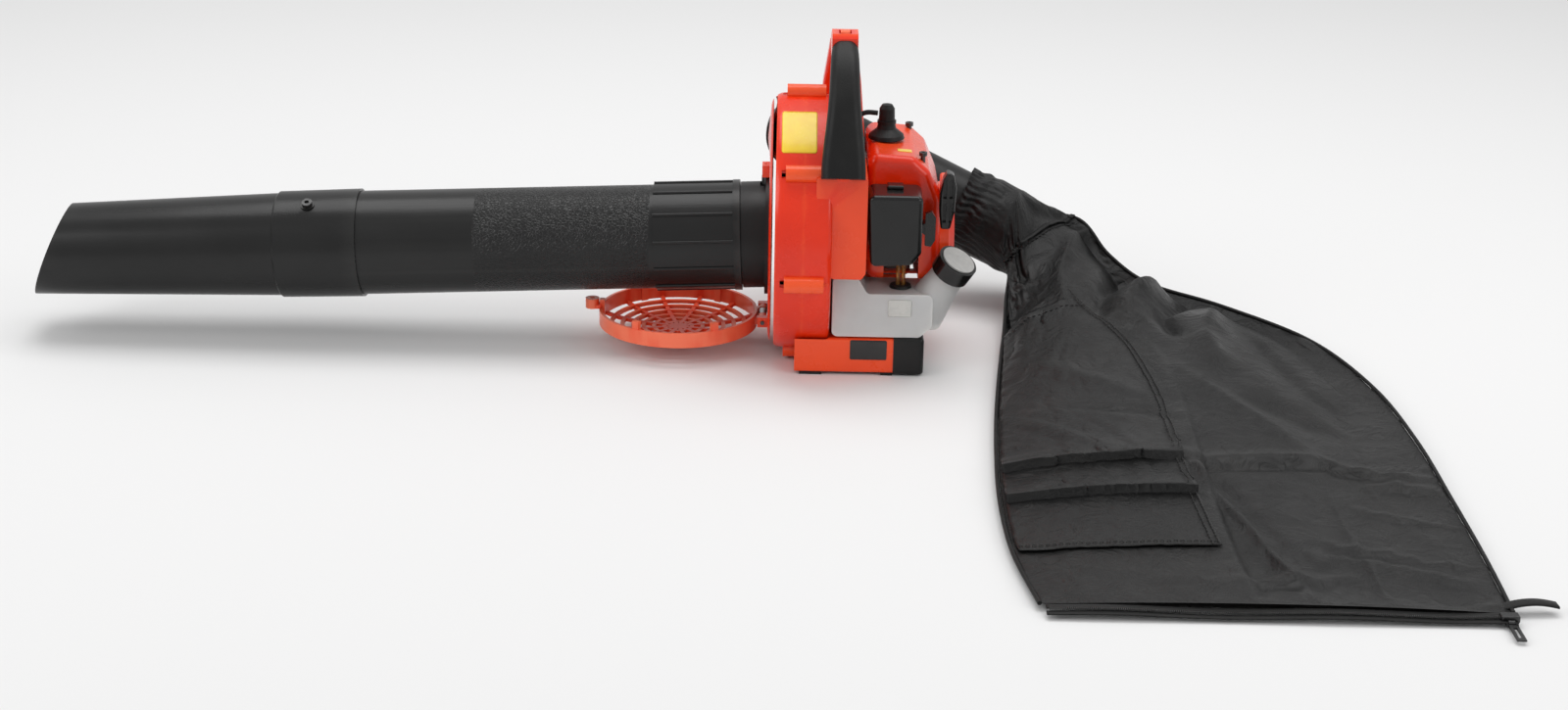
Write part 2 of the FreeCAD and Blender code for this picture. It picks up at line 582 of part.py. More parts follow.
def build_starter():
    """Recoil starter: housing, pulley, flat spring, rope and pull handle."""
    shell = turned([(0, 24), (0, 56), (9, 56), (15, 48), (15, 0), (12.5, 0), (12.5, 46.5),
                    (8, 53.5), (2.5, 53.5), (2.5, 24)], Vector(STARTER_LEFT, 0, FAN_Z), X_AXIS)
    ear = box((STARTER_LEFT, ROPE_EXIT.y, ROPE_EXIT.z - 12), (STARTER_RIGHT - 1, -20, ROPE_EXIT.z + 8))
    ear = rounded(ear, 3, lambda e: along(e, Y_AXIS))
    room = rod((STARTER_LEFT + 2.5, 0, FAN_Z), (STARTER_RIGHT - 2.5, 0, FAN_Z), 53.4)
    shell = union([shell, ear.cut(room)])
    vents = []
    for index in range(16):
        slot = box((STARTER_RIGHT - 6, -3, FAN_Z + 22), (STARTER_RIGHT + 4, 3, FAN_Z + 42))
        slot.rotate(Vector(0, 0, FAN_Z), X_AXIS, 22.5 * index)
        vents.append(slot)
    post = rod((STARTER_RIGHT - 9, 0, FAN_Z), (STARTER_RIGHT - 1, 0, FAN_Z), 5)
    rope_way = rod(ROPE_EXIT - Y_AXIS * 9, ROPE_EXIT + Y_AXIS * 60, ROPE_R + 0.6)
    save("starter_housing", shell.cut(vents).fuse(post).cut(rope_way))
    pulley = turned([(0, 5 + RUNNING), (0, PULLEY_R), (1.4, PULLEY_R), (2.4, PULLEY_R - 4),
                     (4.6, PULLEY_R - 4), (5.6, PULLEY_R), (7, PULLEY_R), (7, 5 + RUNNING)],
                    Vector(STARTER_RIGHT - 11, 0, FAN_Z), X_AXIS)
    pulley = pulley.cut(rod((STARTER_RIGHT - 14, 16, FAN_Z), (STARTER_RIGHT, 16, FAN_Z), 1.5))
    save("starter_pulley", pulley)
    spring = pipe((STARTER_RIGHT - 3.8, 0, FAN_Z), (STARTER_RIGHT - 3, 0, FAN_Z), 20, 8)
    save("recoil_spring", spring)
    grip_y = -80.0
    outline = [(123, 150), (132, 150), (136, 168), (137, 192), (134, 204), (128, 207), (124, 200),
               (121, 186), (121, 168)]
    handle = rounded(prism_y(outline, grip_y - 8, grip_y + 8), 2.5)
    slots = [box((x, grip_y - 9, z), (x + 3.4, grip_y - 4, z + 19))
             for x in (124.2, 130.2) for z in (157, 181)]
    seat = rod(ROPE_EXIT + Y_AXIS * (grip_y - 5 - ROPE_EXIT.y), ROPE_EXIT, ROPE_R)
    save("starter_handle", handle.cut(slots + [seat]))
    save("starter_rope", rod(Vector(ROPE_EXIT.x, grip_y - 3, ROPE_EXIT.z), ROPE_EXIT + Y_AXIS * 30, ROPE_R))


# Middle line of the grip, from its foot at the front up to the top bar, as (y, z, width in X).
GRIP_LINE = [(-119, 207, 42), (-107, 240, 38), (-90, 273, 31), (-67, 300, 28), (-42, 314, 24)]
BAR_FRONT = -50.0
BAR_CREST = -24.0         # behind this the bar's top falls away
BAR_Y = 46.0
BAR_Z = 313.0


def handle_wires(grow):
    """Rounded sections along the grip's middle line, grown by grow."""
    wires = []
    for index, (y, z, width) in enumerate(GRIP_LINE):
        before = GRIP_LINE[max(index - 1, 0)]
        after = GRIP_LINE[min(index + 1, len(GRIP_LINE) - 1)]
        run = Vector(0, after[0] - before[0], after[1] - before[1]).normalize()
        across = run.cross(X_AXIS)
        if grow == 0:
            wires.append(rect_wire(Vector(HANDLE_X, y, z), X_AXIS, across, width, 27, 9))
        else:
            wires.append(rect_wire(Vector(HANDLE_X, y, z), X_AXIS, across, grow, grow, 2))
    return wires


def build_handle():
    """Handle arch, its two soft grip shells, the stop switch and the sprung throttle trigger."""
    grip = Part.makeLoft(handle_wires(0), True, False)
    core = Part.makeLoft(handle_wires(GRIP_CORE), True, False)
    side_view = [(BAR_FRONT, BAR_Z - 14), (BAR_Y, BAR_Z - 14), (BAR_Y, BAR_Z - 5), (BAR_CREST, HANDLE_TOP),
                 (BAR_FRONT + 4, HANDLE_TOP), (BAR_FRONT, HANDLE_TOP - 4)]
    bar = prism_x(side_view, HANDLE_X - 12.5, HANDLE_X + 12.5)
    leg = loft([rect_wire(Vector(HANDLE_X, BAR_Y - 4, BAR_Z - 8), X_AXIS, Y_AXIS, 26, 22, 5),
                rect_wire(Vector(HANDLE_X, BAR_Y + 6, 262), X_AXIS, Y_AXIS, 38, 26, 5),
                rect_wire(Vector(HANDLE_X, BAR_Y + 12, 205), X_AXIS, Y_AXIS, 48, 30, 5)])
    column = prism_y([(VOLUTE_RIGHT + 1, 106), (47, 106), (51, 112), (51, 207), (2, 207), (2, 190),
                      (VOLUTE_RIGHT - 3, 112)], -114, -36)
    column = rounded(column, 3, lambda e: along(e, Y_AXIS))
    room = box((VOLUTE_RIGHT + 3.5, -111.5, 100), (48.5, -30, 203.5))
    tie = box((VOLUTE_RIGHT + 0.5, -40, 170), (42, BAR_Y + 10, 205))
    tie_room = box((VOLUTE_RIGHT + 3, -50, 160), (39.5, BAR_Y + 4, 202))
    column = column.cut(room)
    shoulder = union([column, tie.cut(tie_room), leg])
    shoulder = shoulder.cut([outer_housing, tie_room,
                             rod((20, 0, 150), (38, 0, 150), 36)])
    frame = union([bar, core, shoulder])
    trigger_at = Vector(HANDLE_X, -30, BAR_Z - 6)
    pocket = box((HANDLE_X - 5, -40, BAR_Z - 15), (HANDLE_X + 5, 0, BAR_Z + 4))
    switch_pocket = box((HANDLE_X - 6, -44, HANDLE_TOP - 8), (HANDLE_X + 6, -28, HANDLE_TOP + 1))
    pin_hole = rod(trigger_at - X_AXIS * 20, trigger_at + X_AXIS * 20, 2)
    frame = frame.cut([pocket, switch_pocket, pin_hole])
    lead_hole = union([rod((ENGINE_X - 40, 0, 243), (ENGINE_X + 5, 0, 243), 6),
                       rod((27, 0, 150), (27, 0, 245), 7), rod((32, 0, 190), (32, 0, 245), 7)])
    frame = frame.cut([volute_boss_room(), lead_hole])
    save("handle_frame", max(frame.Solids, key=lambda solid: solid.Volume))
    big = 400
    grip = grip.cut([core, outer_housing, volute_boss_room(), column_block()])
    grip = grip.common(box((-big, -big, -big), (big, BAR_FRONT, big)))
    save("grip_left", grip.common(box((-big, -big, -big), (HANDLE_X, big, big))))
    save("grip_right", grip.common(box((HANDLE_X, -big, -big), (big, big, big))))
    rocker = turned([(0, 0), (0, 5), (9, 5), (9, 0)], Vector(HANDLE_X - 4.5, -36, HANDLE_TOP - 2.6), X_AXIS)
    nub = box((HANDLE_X - 4.5, -42, HANDLE_TOP - 4), (HANDLE_X + 4.5, -36, HANDLE_TOP + 0.5))
    save("stop_switch", union([rocker, nub]))
    finger = prism_x([(trigger_at.y - 5, trigger_at.z + 4), (trigger_at.y + 6, trigger_at.z + 5),
                      (trigger_at.y + 24, trigger_at.z - 12), (trigger_at.y + 22, trigger_at.z - 24),
                      (trigger_at.y + 17, trigger_at.z - 25), (trigger_at.y + 12, trigger_at.z - 12),
                      (trigger_at.y - 5, trigger_at.z - 6)], HANDLE_X - 4.4, HANDLE_X + 4.4)
    finger = finger.cut(rod(trigger_at - X_AXIS * 20, trigger_at + X_AXIS * 20, 2 + RUNNING))
    save("throttle_trigger", finger)
    save("trigger_pin", rod(trigger_at - X_AXIS * 11, trigger_at + X_AXIS * 11, 2))


def volute_boss_room():
    """The space round the housing's screw bosses, which the handle leaves free."""
    return Part.makeCompound([rod((VOLUTE_SPLIT - 20, y, z), (VOLUTE_SPLIT + 24, y, z), BOSS_R + GAP)
                              for y, z in boss_places()])


def column_block():
    """The outside of the handle's foot, which the grip stands on."""
    return box((0, -130, 90), (55, -36, 207))


def droop(shape):
    """Turns a piece of the straight suction tube down about the centre of the intake face."""
    shape.rotate(Vector(VOLUTE_LEFT, 0, FAN_Z), Y_AXIS, -TUBE_DROOP)
    return shape


def tube_point(distance, radius=0.0, degrees=0.0):
    """A point of the straight tube, before it droops: degrees 0 is the front, 90 the top."""
    angle = math.radians(degrees)
    return Vector(VOLUTE_LEFT - distance, -radius * math.cos(angle), FAN_Z + radius * math.sin(angle))


def build_tubes():
    """Intake collar, suction tube with its ribbed end, and the slant-cut nozzle."""
    socket_r = TUBE_R - TUBE_WALL - 0.2
    face = VOLUTE_LEFT - GAP / 4
    flange = rod((VOLUTE_LEFT - 4, 0, FAN_Z), (face, 0, FAN_Z), COLLAR_R)
    throat = droop(rod(tube_point(1), tube_point(TUBE_START + 26), socket_r))
    skirt = droop(rod(tube_point(1), tube_point(TUBE_START - 1), TUBE_R + 1.2))
    bore = droop(rod(tube_point(-10), tube_point(TUBE_START + 30), socket_r - 3))
    keep = box((VOLUTE_LEFT - 90, -90, 0), (face, 90, 240))
    collar = union([flange, throat, skirt]).common(keep).cut(bore)
    lug_room = box((VOLUTE_LEFT - 10, -9, LATCH_Z - 12), (VOLUTE_LEFT + 1, 9, LATCH_Z + 16))
    save("intake_collar", collar.cut(lug_room))

    tube = pipe(tube_point(TUBE_START), tube_point(TUBE_END), TUBE_R, TUBE_R - TUBE_WALL)
    ring = pipe(tube_point(TUBE_START), tube_point(TUBE_START + 7), RIB_R + 0.6, TUBE_R - 1)
    band = pipe(tube_point(TUBE_START + 7), tube_point(TUBE_START + RIB_LENGTH), RIB_R - 1.4, TUBE_R - 1)
    ribs = []
    for index in range(RIB_COUNT):
        degrees = 360 * index / RIB_COUNT + 10
        rib = rod(tube_point(TUBE_START + 5, RIB_R - 1.2, degrees),
                  tube_point(TUBE_START + RIB_LENGTH, RIB_R - 1.2, degrees), 1.6)
        ribs.append(rib)
    bore = rod(tube_point(TUBE_START - 5), tube_point(TUBE_END + 5), TUBE_R - TUBE_WALL)
    screw_at = SLEEVE_START + 48
    pilot = rod(tube_point(screw_at, TUBE_R - 9, 62), tube_point(screw_at, TUBE_R + 9, 62), 2.3)
    save("vacuum_tube", droop(union([tube, ring, band] + ribs).cut([bore, pilot])))

    sleeve_end = SLEEVE_START + SLEEVE_LENGTH
    fit = TUBE_R + 0.1
    tip_r = TUBE_R - NOZZLE_TAPER
    outline = [(SLEEVE_START, fit), (SLEEVE_START, fit + 2.1), (sleeve_end, fit + 1.1),
               (sleeve_end + 2, TUBE_R - 0.6), (NOZZLE_END, tip_r),
               (NOZZLE_END, tip_r - TUBE_WALL), (TUBE_END + 1, TUBE_R - 2.6), (TUBE_END + 1, fit)]
    nozzle = turned(outline, tube_point(0), X_AXIS * -1)
    tip_low = tube_point(NOZZLE_END + 1, 60, -90)
    tip_high = tube_point(NOZZLE_END - NOZZLE_CUT * 1.25, 60, 90)
    knife = Part.Face(Part.makePolygon([tip_low + Vector(0, -80, 0), tip_high + Vector(0, -80, 0),
                                        tip_high + Vector(-150, -80, 0), tip_low + Vector(-150, -80, 0),
                                        tip_low + Vector(0, -80, 0)])).extrude(Vector(0, 160, 0))
    bolt = screw(tube_point(screw_at, TUBE_R + 6.4, 62), tube_point(screw_at, TUBE_R - 1, 62), 2.2, 5, 3.6)
    pad = rod(tube_point(screw_at, TUBE_R + 0.3, 62), tube_point(screw_at, TUBE_R + 2.8, 62), 7)
    pad = pad.cut(rod(tube_point(300), tube_point(600), fit))
    save("nozzle_tube", droop(nozzle.fuse(pad).cut([knife, pilot])))
    save("tube_screw", droop(bolt))


def build_guard():
    """Intake guard, swung open below the tube, with its hinge pin, spring and latch lug."""
    centre = Vector(GUARD_X, 0, GUARD_Z)

    def ring(radius, width, low, high):
        return pipe(centre + Z_AXIS * low, centre + Z_AXIS * high, radius, radius - width)

    pieces = [ring(GUARD_R, 3, -2, 13)]
    gap = (GUARD_R - 16) / GUARD_RINGS
    for index in range(GUARD_RINGS):
        radius = 16 + gap * index
        low = -10 + 8 * (radius / GUARD_R) ** 3
        pieces.append(ring(radius, 4, low, low + 3.5))
    for index in range(GUARD_SPOKES):
        angle = math.radians(360 * index / GUARD_SPOKES + 15)
        out = Vector(math.cos(angle), math.sin(angle), 0)
        side = Vector(-out.y, out.x, 0) * 2
        heights = [(0, -10), (GUARD_R * 0.5, -9), (GUARD_R * 0.8, -6), (GUARD_R - 1, -2)]
        top = [(r, z + 3.4) for r, z in reversed(heights)]
        line = [centre + out * r + Z_AXIS * z - side for r, z in heights + top]
        pieces.append(Part.Face(Part.makePolygon(line + [line[0]])).extrude(side * 2))
    for degrees in (60, 120, 180, 240, 300):
        angle = math.radians(degrees)
        out = Vector(math.cos(angle), math.sin(angle), 0)
        at = centre + out * (GUARD_R - 3)
        finger = Part.makeBox(5, 7, 23, at + Vector(-2.5, -3.5, -2))
        finger.rotate(at, Z_AXIS, degrees)
        pieces.append(finger)
    lug = rod(centre + Vector(-GUARD_R - 7, 0, 12), centre + Vector(-GUARD_R - 7, 0, 22), 7)
    arm = box((GUARD_X - GUARD_R - 7, -6, GUARD_Z + 12), (GUARD_X - GUARD_R + 2, 6, GUARD_Z + 16))
    pieces += [lug, arm]
    for y in (-18, 10):
        knuckle = rod((HINGE_X, y, HINGE_Z), (HINGE_X, y + 8, HINGE_Z), 5)
        bridge = box((GUARD_X + GUARD_R - 4, y, HINGE_Z - 5), (HINGE_X, y + 8, HINGE_Z + 2))
        pieces += [knuckle, bridge]
    holes = [rod((HINGE_X, -60, HINGE_Z), (HINGE_X, 60, HINGE_Z), PIN_R + RUNNING),
             rod(centre + Vector(-GUARD_R - 7, 0, 0), centre + Vector(-GUARD_R - 7, 0, 40), 2.4)]
    save("intake_guard", union(pieces).cut(holes))
    save("guard_hinge_pin", rod((HINGE_X, -29, HINGE_Z), (HINGE_X, 29, HINGE_Z), PIN_R))
    coil = pipe((HINGE_X, -7.7, HINGE_Z), (HINGE_X, 7.9, HINGE_Z), 4.3, 3.2)
    leg = box((HINGE_X + 3.4, 6.4, HINGE_Z - 0.7), (VOLUTE_LEFT - 0.1, 7.8, HINGE_Z + 9))
    hollow = rod((HINGE_X, -9, HINGE_Z), (HINGE_X, 9, HINGE_Z), 3.2)
    save("guard_spring", union([coil, leg]).cut(hollow))


def build_base():
    """Foot under the housing and the engine, its soft end cap and two rubber runners."""
    front = box((BASE_LEFT, BASE_FRONT, RUNNER_T), (BASE_RIGHT, -50, BASE_TOP))
    front = rounded(front, 3, lambda e: along(e, X_AXIS) and e.BoundBox.YMax < BASE_FRONT + 1)
    bed = box((VOLUTE_RIGHT + 0.5, -60, RUNNER_T), (BASE_RIGHT, BASE_BACK, 30))
    cradle = box((VOLUTE_LEFT + 8, 20, RUNNER_T), (BASE_RIGHT - 20, BASE_BACK, 30))
    post = box((VOLUTE_RIGHT + 1, -28, 28), (40, 28, FAN_Z - 34 - GAP))
    bridge = box((30, -24, FAN_Z - 50), (90, 24, FAN_Z - 32 - GAP / 4))
    room = union([box((VOLUTE_RIGHT + 5, -90.5, 0), (BASE_RIGHT - 4, BASE_BACK - 4, 26)),
                  box((BASE_LEFT + 3, -90.5, 0), (VOLUTE_RIGHT + 6, -60, 34))])
    tank_room = box((19, -93, 39.6), (120, -37, 120))
    wheel_room = rod((VOLUTE_RIGHT, 0, FAN_Z), (36, 0, FAN_Z), 36)
    swell = outer_housing.copy()
    swell.scale((VOLUTE_RIGHT + GAP) / VOLUTE_RIGHT, Vector(0, 0, FAN_Z))
    base = union([front, bed, cradle, post, bridge])
    base = base.cut([room, swell, outer_housing, tank_room, wheel_room, volute_boss_room()])
    decks = [box((-11, BASE_FRONT + 3, RUNNER_T), (11, -40, RUNNER_T + 3)),
             box((70, BASE_FRONT + 3, RUNNER_T), (79, BASE_BACK - 3, RUNNER_T + 3)),
             box((-11, 52, RUNNER_T), (11, BASE_BACK - 3, RUNNER_T + 3))]
    base = base.fuse([deck.cut([swell, volute_boss_room()]) for deck in decks])
    save("base", max(base.Solids, key=lambda solid: solid.Volume))
    cap = box((BASE_RIGHT, BASE_FRONT - 0.5, 1.2), (BASE_RIGHT + END_CAP_LENGTH, -46, BASE_TOP + 1.5))
    cap = rounded(cap, 4, lambda e: e.BoundBox.XMin > BASE_RIGHT + 1 or along(e, X_AXIS))
    cap = cap.cut(tank_room)
    save("base_end_cap", cap)
    left = box((-11, BASE_FRONT + 2, 0), (11, BASE_BACK - 2, RUNNER_T))
    right = box((69, BASE_FRONT + 2, 0), (80.6, BASE_BACK - 2, RUNNER_T))
    save("base_runners", Part.makeCompound([left.cut(volute_boss_room()), right]))


def elbow_frame():
    """Points and directions of the elbow's middle line: start, end of bend and far end."""
    bend_start = OUTLET_CENTRE + OUTLET_DIR * 20
    swing = ELBOW_END_DIRECTION - OUTLET_DIR * ELBOW_END_DIRECTION.dot(OUTLET_DIR)
    swing.normalize()
    angle = OUTLET_DIR.getAngle(ELBOW_END_DIRECTION)

    def at(turn):
        return bend_start + (OUTLET_DIR * math.sin(turn) + swing * (1 - math.cos(turn))) * ELBOW_BEND

    far = at(angle) + ELBOW_END_DIRECTION * ELBOW_RUN
    return bend_start, at(angle / 2), at(angle), far


def build_elbow():
    """Smooth elbow that slides over the outlet stub and carries the bag."""
    bend_start, middle, bend_end, far = elbow_frame()
    socket = OUTLET_CENTRE - OUTLET_DIR * 15

    def swept(radius, extra):
        path = Part.Wire([Part.makeLine(socket - OUTLET_DIR * extra, bend_start),
                          Part.Arc(bend_start, middle, bend_end).toShape(),
                          Part.makeLine(bend_end, far + ELBOW_END_DIRECTION * extra)])
        start = socket - OUTLET_DIR * extra
        section = Part.Wire(Part.makeCircle(radius, start, OUTLET_DIR))
        return path.makePipeShell([section], True, True)

    inner = swept(ELBOW_R - ELBOW_WALL, 2)
    elbow = swept(ELBOW_R, 0).cut(inner)
    save("outlet_elbow", elbow)


BAG_FLOOR = 0.5
# Width and height of the bag across its length: (y, low x, high x, height).
BAG_SECTIONS = [(112, 262, 400, 78), (40, 214, 490, 92), (-60, 200, 545, 74), (-200, 182, 556, 46),
                (-389, 170, 560, 30), (-560, 180, 556, 18), (-622, 186, 552, 9)]
BAG_NECK_GRIP = 45.0


def build_bag():
    """Collecting bag laid on the floor, as a plain solid, with its zip slider and pull."""
    wires = []
    for y, low, high, height in BAG_SECTIONS:
        middle = Vector((low + high) / 2, y, BAG_FLOOR + height / 2)
        wires.append(rect_wire(middle, X_AXIS, Z_AXIS, high - low, height, min(height * 0.32, 24)))
    body = loft(wires)
    far = elbow_frame()[3]
    start = far - ELBOW_END_DIRECTION * BAG_NECK_GRIP
    neck_in = Vector(300, 96, 46)
    up = Vector(0, 0, 1)

    def ring(at, direction, radius):
        return Part.Wire(Part.makeCircle(radius, at, direction))

    turn = (neck_in - far).normalize()
    neck = Part.makeLoft([ring(start, ELBOW_END_DIRECTION, ELBOW_R + 4),
                          ring(far, ELBOW_END_DIRECTION, ELBOW_R + 7),
                          ring(far + turn * 50, turn, ELBOW_R + 8),
                          ring(neck_in, turn, ELBOW_R + 2)], True, True)
    hollow = rod(start - ELBOW_END_DIRECTION * 3, far + ELBOW_END_DIRECTION * 2, ELBOW_R + GAP / 2)
    floor = box((100, -700, -50), (600, 300, BAG_FLOOR))
    bag = union([body, neck]).cut([hollow, floor])
    save("collection_bag", max(bag.Solids, key=lambda solid: solid.Volume))
    slider = rounded(box((541, -632, 3), (556, -622.6, 9)), 1.2)
    eye = rod((546, -633.5, 4.2), (551, -633.5, 4.2), 2.4)
    save("zip_slider", slider.fuse(eye).cut(rod((540, -633.5, 4.2), (560, -633.5, 4.2), 1.0)))
    pull = rounded(box((545, -664, 2.8), (553, -636.6, 4.6)), 0.6)
    arms = [box((x, -638, 3.2), (x + 1.6, -632.6, 4.9)) for x in (543.8, 551.6)]
    cross = rod((543.8, -633.5, 4.2), (553.2, -633.5, 4.2), 0.9)
    save("zip_pull", union([pull, cross] + arms).cut(box((547.5, -660, 0), (550.5, -642, 9))))


outer_housing = build_volute()
build_fan()
build_engine()
build_ignition()
build_intake()
build_tank()
build_cover()
build_starter()
build_handle()
build_tubes()
build_guard()
build_base()
build_elbow()
build_bag()
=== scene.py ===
# %% [markdown]
# # A petrol leaf blower set up as a vacuum
#
# The machine is moulded orange plastic round a small engine, with a long black suction tube
# on one side and a cloth collecting bag on the other. The engineering model already holds
# every hard part at its true size and place, so nothing hard is modelled again here. What
# is left is what a maker's eye sees: the finish of each plastic, the rubber, the milky fuel
# tank, the grained band on the tube, and above all the soft bag, which engineering software
# can only draw as a plain lump.

# %% Load the engineering model
import math

import bmesh
import bpy
from mathutils import Matrix, Vector, noise


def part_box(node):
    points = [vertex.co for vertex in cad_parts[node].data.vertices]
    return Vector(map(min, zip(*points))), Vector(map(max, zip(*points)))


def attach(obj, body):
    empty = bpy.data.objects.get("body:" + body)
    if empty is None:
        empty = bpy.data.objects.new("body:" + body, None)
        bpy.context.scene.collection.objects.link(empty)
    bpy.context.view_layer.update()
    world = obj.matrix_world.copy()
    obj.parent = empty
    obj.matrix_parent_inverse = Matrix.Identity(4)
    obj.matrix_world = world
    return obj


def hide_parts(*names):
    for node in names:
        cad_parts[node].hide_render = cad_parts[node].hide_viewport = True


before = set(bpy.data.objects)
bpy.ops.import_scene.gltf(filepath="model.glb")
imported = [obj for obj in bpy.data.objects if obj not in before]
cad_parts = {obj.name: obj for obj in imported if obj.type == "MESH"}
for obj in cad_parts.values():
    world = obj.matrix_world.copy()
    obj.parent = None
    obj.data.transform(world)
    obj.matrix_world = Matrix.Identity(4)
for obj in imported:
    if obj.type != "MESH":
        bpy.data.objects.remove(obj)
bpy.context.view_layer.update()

# %% [markdown]
# ## The camera
#
# The product is looked at from the front and a little above, from a few metres away with a
# long lens. A short lens close up would splay the tube and the bag apart. The camera is
# also turned by about one degree, so the machine seems to stand very slightly askew.

# %% Camera
AIM = Vector((-0.026, 0.0, -0.014))
CAMERA_DISTANCE = 2.6
LOOK_DOWN = math.radians(20)
CAMERA_ROLL = math.radians(1.1)

camera = bpy.data.objects.new("camera", bpy.data.cameras.new("camera"))
bpy.context.scene.collection.objects.link(camera)
camera.data.lens = 58.5
camera.data.sensor_width = 36.0
back = Vector((0, -math.cos(LOOK_DOWN), math.sin(LOOK_DOWN)))
tilt = Matrix.Rotation(math.pi / 2 - LOOK_DOWN, 4, "X") @ Matrix.Rotation(CAMERA_ROLL, 4, "Z")
camera.matrix_world = Matrix.Translation(AIM + back * CAMERA_DISTANCE) @ tilt
bpy.context.scene.camera = camera
print("camera at", [round(v, 3) for v in camera.location])

# %% [markdown]
# ## Floor and light
#
# Shop pictures of tools are taken on a white sweep under large soft lamps. A very wide
# floor with a bright sky gives the same even light, and two big panels add the long, soft
# streaks that make glossy plastic and nylon readable. Small lamps would give hard shadows.

# %% Floor
def link(obj):
    bpy.context.scene.collection.objects.link(obj)
    return obj


def mesh_object(name, vertices, faces, smooth=True):
    """A mesh object from plain lists of corners and faces."""
    mesh = bpy.data.meshes.new(name)
    mesh.from_pydata([tuple(v) for v in vertices], [], faces)
    mesh.update()
    if smooth:
        mesh.shade_smooth()
    return link(bpy.data.objects.new(name, mesh))


FLOOR_HALF = 9.0
corners = [(-FLOOR_HALF, -FLOOR_HALF, 0), (FLOOR_HALF, -FLOOR_HALF, 0),
           (FLOOR_HALF, FLOOR_HALF, 0), (-FLOOR_HALF, FLOOR_HALF, 0)]
floor = mesh_object("floor", corners, [(0, 1, 2, 3)], smooth=False)

# %% Lamps and sky
def panel(name, place, target, size, power):
    """A rectangular soft light at place, facing target."""
    light = bpy.data.lights.new(name, "AREA")
    light.shape = "RECTANGLE"
    light.size, light.size_y = size
    light.energy = power
    lamp = link(bpy.data.objects.new(name, light))
    lamp.location = place
    lamp.rotation_mode = "QUATERNION"
    lamp.rotation_quaternion = (Vector(target) - Vector(place)).to_track_quat("-Z", "Y")
    return lamp


panel("overhead_panel", (0.1, 0.5, 2.6), (0.0, 0.0, 0.1), (3.2, 1.6), 40)
panel("left_panel", (-2.4, -1.4, 1.7), (0.0, 0.0, 0.1), (1.4, 1.4), 16)
panel("right_panel", (2.2, -1.7, 1.5), (0.2, -0.1, 0.1), (1.2, 1.2), 12)

sky = bpy.data.worlds.new("sky")
bpy.context.scene.world = sky
sky.use_nodes = True
sky.node_tree.nodes["Background"].inputs["Color"].default_value = (1.0, 1.0, 1.0, 1)
sky.node_tree.nodes["Background"].inputs["Strength"].default_value = 0.62
bpy.context.scene.view_settings.view_transform = "Standard"
bpy.context.scene.view_settings.look = "None"

# %% [markdown]
# ## How the finishes are made
#
# Every finish is a small network of nodes, so it has no seams and needs no picture. Each
# one starts from the same few moves: a colour that drifts a little from place to place, a
# gloss that is broken up by handling, and a fine relief. Those moves are written once here
# and every material below chooses its own amounts.

